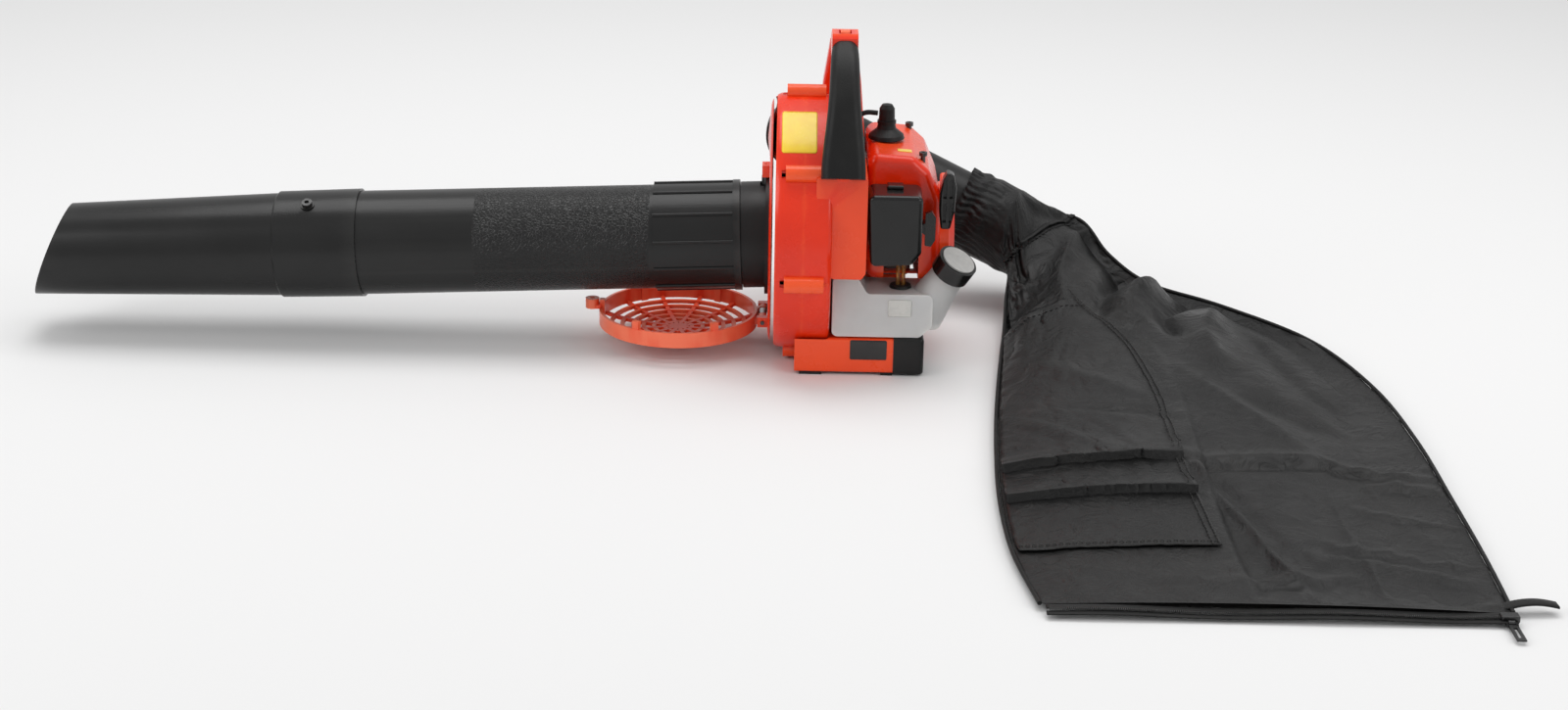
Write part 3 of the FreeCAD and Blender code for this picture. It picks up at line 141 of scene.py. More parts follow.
# %% Helpers for node materials
class Finish:
    """A node material under construction, with short words for the moves used below."""

    def __init__(self, name, **sockets):
        self.material = bpy.data.materials.new(name)
        self.material.use_nodes = True
        self.nodes = self.material.node_tree.nodes
        self.links = self.material.node_tree.links
        self.shader = self.nodes["Principled BSDF"]
        self.place = self.nodes.new("ShaderNodeTexCoord").outputs["Object"]
        self.relief = None
        for socket, value in sockets.items():
            self.shader.inputs[socket.replace("_", " ")].default_value = value

    def node(self, kind, **settings):
        made = self.nodes.new("ShaderNode" + kind)
        for name, value in settings.items():
            setattr(made, name, value)
        return made

    def join(self, source, target):
        self.links.new(source, target)

    def noise(self, scale, detail=4.0, roughness=0.55, stretch=None, twist=0.0):
        """Soft cloud noise, scale in blobs a metre; stretch scales it apart along X, Y, Z."""
        texture = self.node("TexNoise")
        texture.inputs["Scale"].default_value = scale
        texture.inputs["Detail"].default_value = detail
        texture.inputs["Roughness"].default_value = roughness
        texture.inputs["Distortion"].default_value = twist
        self.join(self.stretched(stretch), texture.inputs["Vector"])
        return texture.outputs["Fac"]

    def stretched(self, stretch):
        if stretch is None:
            return self.place
        mapping = self.node("Mapping")
        mapping.inputs["Scale"].default_value = stretch
        self.join(self.place, mapping.inputs["Vector"])
        return mapping.outputs["Vector"]

    def cells(self, scale, feature="F1", stretch=None, output="Distance"):
        """Cell pattern, for grain, foam and pebbled rubber."""
        texture = self.node("TexVoronoi", feature=feature)
        texture.inputs["Scale"].default_value = scale
        self.join(self.stretched(stretch), texture.inputs["Vector"])
        return texture.outputs[output]

    def waves(self, scale, direction="X", distortion=0.0, profile="SIN"):
        texture = self.node("TexWave", bands_direction=direction, wave_profile=profile)
        texture.inputs["Scale"].default_value = scale
        texture.inputs["Distortion"].default_value = distortion
        self.join(self.place, texture.inputs["Vector"])
        return texture.outputs["Fac"]

    def remap(self, value, low, high, new_low, new_high):
        """Stretches a value from one range to another, held at both ends."""
        made = self.node("MapRange")
        for socket, number in zip(("From Min", "From Max", "To Min", "To Max"),
                                  (low, high, new_low, new_high)):
            made.inputs[socket].default_value = number
        self.join(value, made.inputs["Value"])
        return made.outputs["Result"]

    def math(self, operation, first, second):
        made = self.node("Math", operation=operation)
        for socket, value in zip(made.inputs, (first, second)):
            if isinstance(value, (int, float)):
                socket.default_value = value
            else:
                self.join(value, socket)
        return made.outputs["Value"]

    def axis(self, letter):
        """How far along X, Y or Z a point is, in metres."""
        made = self.node("SeparateXYZ")
        self.join(self.place, made.inputs["Vector"])
        return made.outputs[letter]

    def blend(self, factor, first, second):
        """A colour between two colours, or between a colour and a socket."""
        made = self.node("Mix", data_type="RGBA")
        if isinstance(factor, (int, float)):
            made.inputs["Factor"].default_value = factor
        else:
            self.join(factor, made.inputs["Factor"])
        for socket, value in ((made.inputs[6], first), (made.inputs[7], second)):
            if isinstance(value, tuple):
                socket.default_value = (*value, 1.0)
            else:
                self.join(value, socket)
        return made.outputs[2]

    def edges(self, low=0.52, high=0.62):
        """Where the surface is worn on its outer edges."""
        return self.remap(self.node("NewGeometry").outputs["Pointiness"], low, high, 0.0, 1.0)

    def colour(self, value):
        self.join(value, self.shader.inputs["Base Color"])
        return self

    def gloss(self, value, low, high):
        """Roughness that wanders between low and high with a pattern."""
        self.join(self.remap(value, 0.3, 0.7, low, high), self.shader.inputs["Roughness"])
        return self

    def raise_by(self, height, metres, strength=1.0):
        """Adds one more layer of fine relief, metres deep."""
        bump = self.node("Bump")
        bump.inputs["Distance"].default_value = metres
        bump.inputs["Strength"].default_value = strength
        self.join(height, bump.inputs["Height"])
        if self.relief is not None:
            self.join(self.relief, bump.inputs["Normal"])
        self.relief = bump.outputs["Normal"]
        self.join(self.relief, self.shader.inputs["Normal"])
        return self


print("finish helpers ready")

# %% [markdown]
# ## Moulded orange plastic
#
# The housing is ABS coloured all through. It comes out of the mould glossy, with a very
# shallow orange-peel surface and slow colour drift where the melt flowed. A paint shader
# with a thick clear coat would look like a car, so the coat is kept thin and the fine
# ripple does the work: it bends the lamps' reflections a little, which is what the eye
# reads as moulded plastic. Corners go slightly paler where hands and racks rub them.

# %% Orange housing and red guard
def screen(red, green, blue):
    """A colour given as a screen shows it, 0 to 255, as the light it stands for."""
    parts = []
    for value in (red, green, blue):
        share = value / 255
        parts.append(share / 12.92 if share <= 0.04045 else ((share + 0.055) / 1.055) ** 2.4)
    return tuple(parts)


def moulded(name, base, deep, pale, rough=(0.2, 0.32)):
    finish = Finish(name, Coat_Weight=0.2, Coat_Roughness=0.12, IOR=1.5, Specular_IOR_Level=0.35)
    drift = finish.blend(finish.remap(finish.noise(9), 0.35, 0.65, 0, 1), deep, base)
    finish.colour(finish.blend(finish.edges(0.53, 0.66), drift, pale))
    finish.gloss(finish.noise(26, detail=6), *rough)
    finish.raise_by(finish.noise(420, detail=2), 0.00012, 0.5)
    finish.raise_by(finish.noise(60, detail=2), 0.0003, 0.35)
    return finish.material


orange = moulded("orange_plastic", screen(240, 50, 6), screen(222, 40, 4), screen(250, 92, 40))
guard_red = moulded("guard_plastic", screen(245, 82, 42), screen(236, 66, 30), screen(252, 128, 92),
                    rough=(0.3, 0.42))
print("orange plastics made")

# %% [markdown]
# ## Black plastics
#
# Four blacks sit side by side on this machine and they must not look alike. The covers are
# shiny, the tube is a satin blow-moulded skin drawn out along its length, the foot's end
# cap is duller, and the handle is soft rubber. Only the gloss and the relief differ, so one
# short function makes the hard ones. The tube also has a band of leather-like grain where
# it is held: cell noise raised only between two places along its length.

# %% Black plastics
def black(name, tone=14, rough=(0.16, 0.3), coat=0.2, relief=0.0001, stretch=None):
    finish = Finish(name, Coat_Weight=coat, Coat_Roughness=0.15, IOR=1.5, Specular_IOR_Level=0.35)
    base, pale = screen(tone, tone, tone), screen(tone + 20, tone + 20, tone + 19)
    shade = screen(tone - 6, tone - 6, tone - 6)
    drift = finish.blend(finish.remap(finish.noise(14), 0.35, 0.65, 0, 1), shade, base)
    finish.colour(finish.blend(finish.edges(0.53, 0.68), drift, pale))
    finish.gloss(finish.noise(40, detail=6, stretch=stretch), *rough)
    finish.raise_by(finish.noise(500, detail=2, stretch=stretch), relief, 0.6)
    return finish


gloss_black = black("gloss_black").material
end_cap_black = black("end_cap_black", tone=14, rough=(0.34, 0.46), coat=0.0).material
matte_black = black("matte_black", tone=22, rough=(0.5, 0.62), coat=0.0, relief=0.0002).material

GRAIN_START, GRAIN_END = -0.335, -0.162
GRAIN_FADE = 0.0008


def tube_skin(name, grained):
    finish = black(name, tone=22, rough=(0.26, 0.36), coat=0.05, relief=0.00012, stretch=(0.15, 1, 1))
    finish.raise_by(finish.noise(22, detail=2, stretch=(0.25, 1, 1)), 0.0009, 0.3)
    if not grained:
        return finish.material
    along_tube = finish.axis("X")
    after = finish.remap(along_tube, GRAIN_START - GRAIN_FADE, GRAIN_START + GRAIN_FADE, 0, 1)
    before = finish.remap(along_tube, GRAIN_END - GRAIN_FADE, GRAIN_END + GRAIN_FADE, 1, 0)
    band = finish.math("MULTIPLY", after, before)
    grain = finish.remap(finish.cells(320, "DISTANCE_TO_EDGE"), 0.0, 0.25, 0, 1)
    finish.raise_by(finish.math("MULTIPLY", grain, band), 0.00045, 1.0)
    return finish.material


tube_black = tube_skin("tube_black", grained=True)
nozzle_black = tube_skin("nozzle_black", grained=False)


def rubber(name, tone, rough, pebble):
    finish = Finish(name, IOR=1.45, Sheen_Weight=0.03, Sheen_Roughness=0.5, Specular_IOR_Level=0.35)
    base, dusty = screen(tone, tone, tone), screen(tone + 14, tone + 14, tone + 13)
    finish.colour(finish.blend(finish.remap(finish.noise(35, detail=6), 0.45, 0.7, 0, 0.6), base, dusty))
    finish.gloss(finish.noise(60, detail=5), *rough)
    finish.raise_by(finish.cells(pebble), 0.0002, 0.6)
    return finish.material


grip_rubber = rubber("grip_rubber", 12, (0.38, 0.5), 900)
boot_rubber = rubber("boot_rubber", 11, (0.34, 0.46), 1400)
foot_rubber = rubber("foot_rubber", 28, (0.7, 0.82), 1100)
print("black plastics and rubbers made")

# %% [markdown]
# ## Milky tank, clear hoses and the primer bulb
#
# The fuel tank is natural polyethylene. Light goes in, scatters and comes out a little way
# off, so its edges glow and it never looks painted. Subsurface scattering does that with
# one number, the distance that light travels. The hoses are clear and amber, so they let
# light straight through instead.

# %% Tank, hoses and bulb
tank_finish = Finish("tank_milky", Subsurface_Weight=0.6, Subsurface_Scale=0.02, IOR=1.5,
                     Coat_Weight=0.12, Coat_Roughness=0.3)
tank_finish.shader.inputs["Subsurface Radius"].default_value = (1.0, 0.9, 0.8)
milky = tank_finish.remap(tank_finish.noise(16, detail=3), 0.35, 0.65, 0, 1)
tank_finish.colour(tank_finish.blend(milky, screen(222, 218, 212), screen(232, 229, 224)))
tank_finish.gloss(tank_finish.noise(30, detail=5), 0.34, 0.48)
tank_finish.raise_by(tank_finish.noise(260, detail=3), 0.00025, 0.5)
tank_white = tank_finish.material


def clear(name, tint, through=0.75, rough=(0.12, 0.22)):
    finish = Finish(name, Transmission_Weight=through, IOR=1.46)
    deeper = tuple(v * 0.75 for v in tint)
    finish.colour(finish.blend(finish.remap(finish.noise(90), 0.4, 0.6, 0, 1), tint, deeper))
    finish.gloss(finish.noise(120), *rough)
    return finish.material


amber_hose = clear("amber_hose", screen(226, 160, 74))
bulb_clear = clear("bulb_clear", screen(210, 214, 210), through=0.6)
print("tank, hoses and bulb made")

# %% [markdown]
# ## Metals, foam, rope and print-free labels
#
# Castings are dull and slightly pitted, turned steel is brushed round its axis, and the
# zip is dark plated metal. The labels are real stickers with rounded corners but carry no
# words: a blank sticker still tells the eye how glossy the shell under it is.

# %% Metals, foam, rope and labels
def metal(name, tone, rough, scale, stretch=None, relief=0.0001, warm=0.0):
    finish = Finish(name, Metallic=1.0)
    bright = screen(tone, tone, tone)
    dark = screen(tone * 0.72, tone * (0.72 - warm), tone * (0.72 - 2 * warm))
    grain = finish.noise(scale, detail=6, stretch=stretch)
    finish.colour(finish.blend(finish.remap(grain, 0.35, 0.65, 0, 1), dark, bright))
    finish.gloss(finish.noise(scale, detail=4, stretch=stretch), *rough)
    finish.raise_by(grain, relief, 0.5)
    return finish.material


cast_alloy = metal("cast_alloy", 168, (0.42, 0.6), 380, relief=0.0003)
turned_steel = metal("turned_steel", 188, (0.22, 0.36), 260, stretch=(8, 1, 1))
dark_steel = metal("dark_steel", 96, (0.3, 0.46), 300)
copper_steel = metal("heated_steel", 120, (0.4, 0.6), 60, warm=0.05)
zip_metal = metal("zip_metal", 82, (0.26, 0.42), 700, stretch=(1, 3, 1))

foam_finish = Finish("filter_foam", Roughness=0.95)
pore_pits_and_shade = foam_finish.cells(900)
# The foam is painted darker towards the middle of each pore: painted shade inside the pits that the same
# cells press in.
foam_finish.colour(foam_finish.blend(pore_pits_and_shade, screen(12, 12, 12), screen(58, 57, 54)))
foam_finish.raise_by(pore_pits_and_shade, 0.0008, 1.0)
filter_foam = foam_finish.material

rope_finish = Finish("starter_rope", Roughness=0.8, Sheen_Weight=0.3)
braid_ridges_and_shade = rope_finish.waves(420, "DIAGONAL", distortion=1.0)
# The braid's grooves are painted darker and its crests paler: painted shade and painted highlight that follow
# the same waves as the relief.
rope_finish.colour(rope_finish.blend(braid_ridges_and_shade, screen(20, 20, 20), screen(58, 58, 56)))
rope_finish.raise_by(braid_ridges_and_shade, 0.0004, 1.0)
rope_black = rope_finish.material


def printed(name, colour, speck, rough=(0.2, 0.3)):
    """A blank sticker: film with a faint orange-peel and slow fading."""
    finish = Finish(name, Coat_Weight=0.3, Coat_Roughness=0.1)
    finish.colour(finish.blend(finish.remap(finish.noise(70, detail=6), 0.4, 0.7, 0, 1), colour, speck))
    finish.gloss(finish.noise(90), *rough)
    finish.raise_by(finish.noise(500, detail=2), 0.00005, 0.5)
    return finish.material


label_yellow = printed("label_yellow", screen(250, 214, 40), screen(244, 202, 36))
label_black = printed("label_black", screen(14, 14, 14), screen(26, 26, 26))
label_line = printed("label_line", screen(205, 205, 200), screen(188, 188, 184))

disc_finish = Finish("cap_disc", Coat_Weight=0.1)
disc_grain = disc_finish.noise(220, detail=6)
disc_finish.colour(disc_finish.blend(disc_grain, screen(150, 149, 147), screen(186, 185, 182)))
disc_finish.gloss(disc_grain, 0.34, 0.5)
disc_finish.raise_by(disc_grain, 0.00025, 0.6)
cap_grey = disc_finish.material
print(len(bpy.data.materials), "finishes so far")

# %% [markdown]
# ## Dressing the engineering nodes
#
# Each node that is already the right shape keeps its shape and is simply given its finish.
# Sharp edges catch no light, and no real moulding has one, but here the shells keep
# the engineering model's edges as they are.

# %% Give every node its finish
FINISH_OF = {
    orange: ["volute_intake_half", "volute_engine_half", "engine_cover", "starter_housing",
             "handle_frame", "base", "air_filter_base"],
    guard_red: ["intake_guard", "stop_switch"],
    gloss_black: ["air_filter_cover", "fuel_cap", "starter_handle", "choke_lever",
                  "throttle_trigger", "impeller", "ignition_coil", "starter_pulley"],
    end_cap_black: ["base_end_cap", "intake_collar", "outlet_elbow", "carburettor", "intake_manifold"],
    tube_black: ["vacuum_tube"],
    nozzle_black: ["nozzle_tube"],
    grip_rubber: ["grip_left", "grip_right"],
    boot_rubber: ["spark_plug_boot", "tank_grommet", "ignition_lead"],
    foot_rubber: ["base_runners"],
    tank_white: ["fuel_tank"],
    cap_grey: ["fuel_cap_disc"],
    amber_hose: ["fuel_feed_line", "fuel_return_line"],
    bulb_clear: ["primer_bulb"],
    cast_alloy: ["crankcase", "cylinder", "piston", "connecting_rod", "flywheel"],
    turned_steel: ["crankshaft", "wrist_pin", "main_bearings", "impeller_nut", "spark_plug",
                   "recoil_spring", "guard_spring"],
    dark_steel: ["volute_screws", "cover_screws", "guard_latch_screw", "guard_hinge_pin",
                 "tube_screw", "trigger_pin"],
    copper_steel: ["muffler"],
    filter_foam: ["air_filter_element"],
    rope_black: ["starter_rope"],
    zip_metal: ["zip_slider", "zip_pull"],
}
dressed = set()
for finish, names in FINISH_OF.items():
    for name in names:
        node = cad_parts[name]
        node.data.materials.clear()
        node.data.materials.append(finish)
        dressed.add(name)
print("dressed", len(dressed), "still plain:", sorted(set(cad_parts) - dressed))

# %% [markdown]
# ## The collecting bag
#
# The real bag is thin black nylon: two panels sewn down both sides, a sleeve at the top
# that an elastic cuff grips onto the elbow, and a zip across the bottom. It lies half empty
# on the floor. A block with a fabric picture on it never convinces, because a bag is seen
# through its folds, so it is built in three steps. First a closed shell is lofted through
# rings given one by one from cuff to zip. Next the big folds that the weight of the elbow makes
# are pressed in. Last, a short cloth simulation lets the panels be slightly too large for
# their outline, and the spare cloth wrinkles by itself, as nylon does.

# %% Rings of the bag, in millimetres
FLOOR_GAP = 1.0
# Each ring: front edge, back edge, rise above and drop below the line between them, and
# how round it is, from 1 at the cuff to 0 where two flat panels meet in sewn edges.
RINGS = [
    ((148, 124, 103), (161, 201, 103), 39, 39, 1.0),
    ((163, 120, 96), (177, 200, 96), 41, 41, 1.0),
    ((181, 115, 88), (195, 199, 88), 43, 43, 1.0),
    ((198, 107, 72), (228, 192, 84), 42, 44, 0.9),
    ((208, 94, 51), (286, 178, 83), 32, 40, 0.5),
    ((204, 66, 27), (316, 138, 56), 40, 30, 0.2),
    ((199, 14, 14), (356, 102, 36), 46, 20, 0.05),
    ((192, -46, 11), (424, 52, 30), 44, 14, 0.0),
    ((183, -128, 10), (504, -16, 18), 40, 9, 0.0),
    ((174, -222, 9), (545, -130, 11), 33, 7, 0.0),
    ((167, -320, 8), (557, -262, 9), 25, 6, 0.0),
    ((163, -418, 7), (558, -392, 7), 19, 5, 0.0),
    ((166, -520, 6), (557, -515, 6), 14, 4, 0.0),
    ((180, -618, 6), (553, -620, 6), 4, 3, 0.0),
]
ALONG = 156
ACROSS = 84


def between(values, t):
    """A smooth curve through a list of numbers or vectors, t from 0 to 1."""
    place = t * (len(values) - 1)
    index = min(int(place), len(values) - 2)
    f = place - index
    before, after = values[max(index - 1, 0)], values[min(index + 2, len(values) - 1)]
    start, end = values[index], values[index + 1]
    slope_in, slope_out = (end - before) * 0.5, (after - start) * 0.5
    return (start * (2 * f ** 3 - 3 * f ** 2 + 1) + slope_in * (f ** 3 - 2 * f ** 2 + f)
            + end * (3 * f ** 2 - 2 * f ** 3) + slope_out * (f ** 3 - f ** 2))


front_edge = [Vector(ring[0]) for ring in RINGS]
back_edge = [Vector(ring[1]) for ring in RINGS]
rises, drops, roundness = ([ring[k] for ring in RINGS] for k in (2, 3, 4))


def bag_point(v, u, upper):
    """A point of the bag: v runs from cuff to zip, u from the front edge to the back edge."""
    start, end = between(front_edge, v), between(back_edge, v)
    ahead = between(front_edge, min(v + 0.02, 1)) + between(back_edge, min(v + 0.02, 1))
    behind = between(front_edge, max(v - 0.02, 0)) + between(back_edge, max(v - 0.02, 0))
    run = (ahead - behind).normalized()
    upward = (end - start).cross(run).normalized()
    if upward.z < 0:
        upward = -upward
    curl = max(0.0, min(1.0, between(roundness, v)))
    angle = math.pi * u
    sideways = curl * (0.5 - 0.5 * math.cos(angle)) + (1 - curl) * u
    bulge = curl * math.sin(angle) + (1 - curl) * (1 - abs(2 * u - 1) ** 2.2)
    rise = between(rises, v) if upper else -between(drops, v)
    point = start.lerp(end, sideways) + upward * (rise * bulge)
    point.z = max(point.z, FLOOR_GAP)
    return point


print("bag front edge is", round(sum((b - a).length for a, b in zip(front_edge, front_edge[1:]))), "mm long")

# %% [markdown]
# ### Pressing in the big folds
#
# A fold is a line on the floor plan with a width and a height: up for a ridge, down for a
# crease. Each one fades out towards its ends. The deepest is the crease where the bag hangs
# down from the elbow and meets the floor, with the hump of spare cloth just beyond it.

# %% Big folds
# Each fold: start (x, y), end (x, y), half width, height; millimetres.
FOLDS = [
    ((338, 128), (300, 20), 9, -22), ((300, 20), (290, -30), 12, -10),
    ((372, 88), (322, 0), 12, 20), ((322, 0), (318, -50), 16, 9),
    ((398, 62), (352, -18), 8, -17), ((352, -18), (362, -62), 9, -12),
    ((300, 168), (262, 60), 7, 9), ((262, 60), (258, -10), 8, 6),
    ((228, 96), (246, 40), 8, -6), ((420, 46), (392, -60), 11, 10),
    ((450, 30), (505, -60), 6, -9), ((462, 30), (520, -70), 6, 7),
    ((392, -60), (400, -130), 14, 8), ((440, -30), (470, -150), 12, -9),
    ((330, -338), (440, -322), 5, 8), ((440, -322), (560, -352), 5, 7),
    ((336, -352), (440, -338), 5, -7), ((440, -338), (556, -366), 5, -5),
    ((338, -350), (372, -470), 5, 7), ((372, -470), (398, -600), 5, 8),
    ((350, -352), (388, -472), 5, -5), ((388, -472), (412, -600), 6, -5),
    ((452, -360), (462, -600), 4, 3), ((470, -150), (520, -250), 10, -5),
    ((500, -120), (545, -260), 7, 6), ((400, -180), (490, -260), 16, -7),
    ((360, -150), (450, -300), 14, 6), ((210, -120), (300, -210), 12, 5),
    ((190, -250), (260, -330), 9, 4), ((250, -240), (330, -260), 10, -4),
    ((480, -420), (540, -450), 7, 4), ((430, -500), (520, -540), 8, -4),
    ((210, -560), (330, -580), 6, 3), ((300, -590), (420, -560), 6, 3),
]


def fold_height(x, y):
    """How far the folds lift or sink the cloth at a place on the floor plan."""
    total = 0.0
    for (x0, y0), (x1, y1), width, height in FOLDS:
        run_x, run_y = x1 - x0, y1 - y0
        length = math.hypot(run_x, run_y)
        t = ((x - x0) * run_x + (y - y0) * run_y) / length ** 2
        off = abs((x - x0) * run_y - (y - y0) * run_x) / length
        if not -0.3 < t < 1.3 or off > 4 * width:
            continue
        beyond = max(0.0, -t, t - 1) / 0.3
        fade = (1 - beyond) * min(1.0, 0.45 + 2.2 * min(max(t, 0), max(1 - t, 0)))
        total += height * max(0.0, fade) * math.exp(-abs(off / width) ** 1.5)
    return total


def panel_point(v, u, upper):
    """A bag point with its folds: full on the upper panel, none on the one underneath."""
    point = bag_point(v, u, upper)
    if not upper or v < 0.26:
        return point
    into = min(1.0, (v - 0.26) / 0.06) * min(1.0, 7 * u, 7 * (1 - u)) * min(1.0, 9 * (1 - v))
    point.z = max(point.z + into * fold_height(point.x, point.y), FLOOR_GAP + 2.2)
    return point


# %% [markdown]
# ### Cloth that is slightly too big
#
# The shell is one closed loop of quads, ring after ring, so any place on it can be found
# again later by its ring and its number on the ring. That matters because the pocket, the
# seams and the stitches are laid on the wrinkled cloth afterwards. In the simulation the
# cuff, the two sewn sides and the zip are pinned, and everything else may grow by a few
# percent and fall onto the floor. No point may move further than a fixed cap, so the bag
# keeps its place. Under the pocket the wrinkles are made calmer, as a second layer of cloth
# stiffens the panel there.

# %% Build the shell and let it wrinkle
BAG_GROWTH = 0.045
WRINKLE_CAP = 0.016
FRAMES = 16
POCKET_CALM = 0.3         # share of the wrinkling left where the pocket's second layer lies
CALM_FROM, CALM_ACROSS = 0.48, 0.47
HELD_RINGS = 34           # the cuff and the sleeve on the elbow do not move


def shell_mesh():
    vertices, faces = [], []
    around = 2 * ACROSS
    for ring in range(ALONG + 1):
        v = ring / ALONG
        for step in range(around):
            upper = step < ACROSS
            u = step / ACROSS if upper else 1 - (step - ACROSS) / ACROSS
            vertices.append(panel_point(v, u, upper) / 1000)
    for ring in range(ALONG):
        for step in range(around):
            a, b = ring * around + step, ring * around + (step + 1) % around
            faces.append((a, b, b + around, a + around))
    end_ring = [ALONG * around + step for step in range(around)]
    for step in range(1, ACROSS):
        mirror = around - step
        faces.append((end_ring[step], end_ring[mirror], end_ring[(mirror - 1) % around], end_ring[step + 1])
                     if step + 1 < ACROSS else (end_ring[step], end_ring[mirror], end_ring[ACROSS]))
    faces.append((end_ring[0], end_ring[around - 1], end_ring[1]))
    return vertices, faces


def wrinkle(obj):
    """Lets obj settle as cloth on a hidden floor, and returns its new points."""
    around = 2 * ACROSS
    held = obj.vertex_groups.new(name="held")
    for index in range(len(obj.data.vertices)):
        ring, step = divmod(index, around)
        to_edge = min(step, abs(step - ACROSS), around - step)
        grip = 1.0 if ring < HELD_RINGS or ring >= ALONG - 1 or to_edge == 0 else 0.0
        if step > ACROSS and ring > 60:
            grip = 1.0
        held.add([index], grip, "REPLACE")
    ground = mesh_object("ground", [(0, -0.8, 0), (0.8, -0.8, 0), (0.8, 0.4, 0), (0, 0.4, 0)], [(0, 1, 2, 3)])
    ground.modifiers.new("touch", "COLLISION")
    ground.collision.thickness_outer = 0.001
    cloth = obj.modifiers.new("cloth", "CLOTH")
    cloth.settings.quality = 6
    cloth.settings.mass = 0.12
    cloth.settings.tension_stiffness = 22
    cloth.settings.compression_stiffness = 22
    cloth.settings.shear_stiffness = 8
    cloth.settings.bending_stiffness = 0.35
    cloth.settings.vertex_group_mass = "held"
    cloth.settings.shrink_min = -BAG_GROWTH
    cloth.settings.effector_weights.gravity = 0.35
    cloth.collision_settings.collision_quality = 2
    cloth.collision_settings.distance_min = 0.001
    for frame_number in range(1, FRAMES + 1):
        bpy.context.scene.frame_set(frame_number)
    settled = obj.evaluated_get(bpy.context.evaluated_depsgraph_get())
    points = [v.co.copy() for v in settled.data.vertices]
    obj.modifiers.clear()
    obj.vertex_groups.clear()
    bpy.data.objects.remove(ground)
    bpy.context.scene.frame_set(1)
    return points


bag_vertices, bag_faces = shell_mesh()
bag = mesh_object("bag", bag_vertices, bag_faces)
for vertex, settled in zip(bag.data.vertices, wrinkle(bag)):
    move = settled - vertex.co
    ring, step = divmod(vertex.index, 2 * ACROSS)
    if ring > CALM_FROM * ALONG and step < CALM_ACROSS * ACROSS:
        move *= POCKET_CALM
    if move.length > WRINKLE_CAP:
        move *= WRINKLE_CAP / move.length
    vertex.co += move
    if vertex.co.z < FLOOR_GAP / 1000:
        vertex.co.z = FLOOR_GAP / 1000
print("bag has", len(bag.data.vertices), "points and", len(bag.data.polygons), "faces")

# %% [markdown]
# ### The gathered cuff
#
# The elastic pulls the end of the sleeve into small regular gathers. They fade out within
# a hand's width, so they are pushed straight into the shell's first rings: in and out along
# the sleeve's radius, more lively near the mouth, with a groove where the elastic sits.

# %% Gathers at the cuff
GATHERS = 34
CUFF_RINGS = 34           # the gathers fade out over this many rings
GATHER_DEPTH, GATHER_SLACK = 0.0015, 0.007
CUFF_SWELL, ELASTIC_GROOVE, ELASTIC_RING = 0.0022, 0.0012, 9


def gather(obj):
    around = 2 * ACROSS
    for ring in range(CUFF_RINGS):
        ring_points = obj.data.vertices[ring * around:(ring + 1) * around]
        centre = sum((p.co for p in ring_points), Vector()) / around
        fade = 1 - ring / CUFF_RINGS
        groove = -ELASTIC_GROOVE * math.exp(-((ring - ELASTIC_RING) / 3.0) ** 2)
        for step, point in enumerate(ring_points):
            angle = 2 * math.pi * step / around
            wander = noise.noise(Vector((math.cos(angle) * 2, math.sin(angle) * 2, ring * 0.13)))
            ripple = math.sin(GATHERS * angle + 3.0 * wander) * (GATHER_DEPTH * fade ** 1.2)
            slack = GATHER_SLACK * wander * fade * min(1.0, ring / 14)
            outward = (point.co - centre).normalized()
            point.co += outward * (CUFF_SWELL * fade + ripple + groove * fade + slack)


gather(bag)
bag.data.update()
print("cuff gathered into", GATHERS, "folds")

# %% [markdown]
# ### Nylon
#
# Coated nylon is black, but it shines softly along every fold because its threads are
# smooth. The weave is far too fine to see from here, so it works as a very small relief,
# and what reads is a gloss that breaks up over creases. The cloth is paler and duller where
# it has been crushed.

# %% Nylon finishes
def nylon(name, tone, rough, weave=2600, crush=0.0010):
    finish = Finish(name, Sheen_Weight=0.03, Sheen_Roughness=0.35, IOR=1.5, Specular_IOR_Level=0.3)
    base, worn = screen(tone, tone, tone), screen(tone + 11, tone + 10, tone + 9)
    patches = finish.remap(finish.noise(11, detail=5, twist=0.6), 0.45, 0.7, 0, 1)
    finish.colour(finish.blend(patches, base, worn))
    finish.gloss(finish.noise(24, detail=6, twist=0.5), *rough)
    crushed = finish.remap(finish.noise(34, detail=5, roughness=0.6, twist=1.4), 0.42, 0.6, 0, 1)
    finish.raise_by(crushed, crush, 0.8)
    threads = finish.math("ADD", finish.waves(weave, "X"), finish.waves(weave, "Y"))
    finish.raise_by(threads, 0.00005, 0.4)
    return finish.material


bag_nylon = nylon("bag_nylon", 5, (0.3, 0.46))
pocket_nylon = nylon("pocket_nylon", 7, (0.32, 0.46), crush=0.0007)
binding_nylon = nylon("binding_nylon", 6, (0.5, 0.62), weave=1400, crush=0.0002)
thread_black = nylon("thread_black", 44, (0.5, 0.6), weave=3000, crush=0.0)
bag.data.materials.append(bag_nylon)
smoother = bag.modifiers.new("smoother", "SUBSURF")
smoother.levels = smoother.render_levels = 1
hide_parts("collection_bag")
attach(bag, "blower")

# %% [markdown]
# ### Laying pieces on wrinkled cloth
#
# A pocket or a seam has to follow every wrinkle beneath it. Because the shell is a grid,
# any place on its upper panel is a blend of four of its points, and the cloth's own
# direction there gives which way is out. Everything sewn on is made from that one function.

# %% Finding a place on the cloth
def on_cloth(v, u, lift=0.0):
    """The place on the upper panel at v along and u across, lifted off it by metres."""
    around = 2 * ACROSS
    points = bag.data.vertices
    ring, step = min(max(v, 0), 1) * ALONG, min(max(u, 0), 1) * ACROSS
    i, j = min(int(ring), ALONG - 1), min(int(step), ACROSS - 1)
    f, g = ring - i, step - j
    a, b = points[i * around + j].co, points[i * around + j + 1].co
    c, d = points[(i + 1) * around + j].co, points[(i + 1) * around + j + 1].co
    place = a.lerp(b, g).lerp(c.lerp(d, g), f)
    outward = (c - a).cross(b - a).normalized()
    if outward.z < 0:
        outward = -outward
    return place + outward * lift


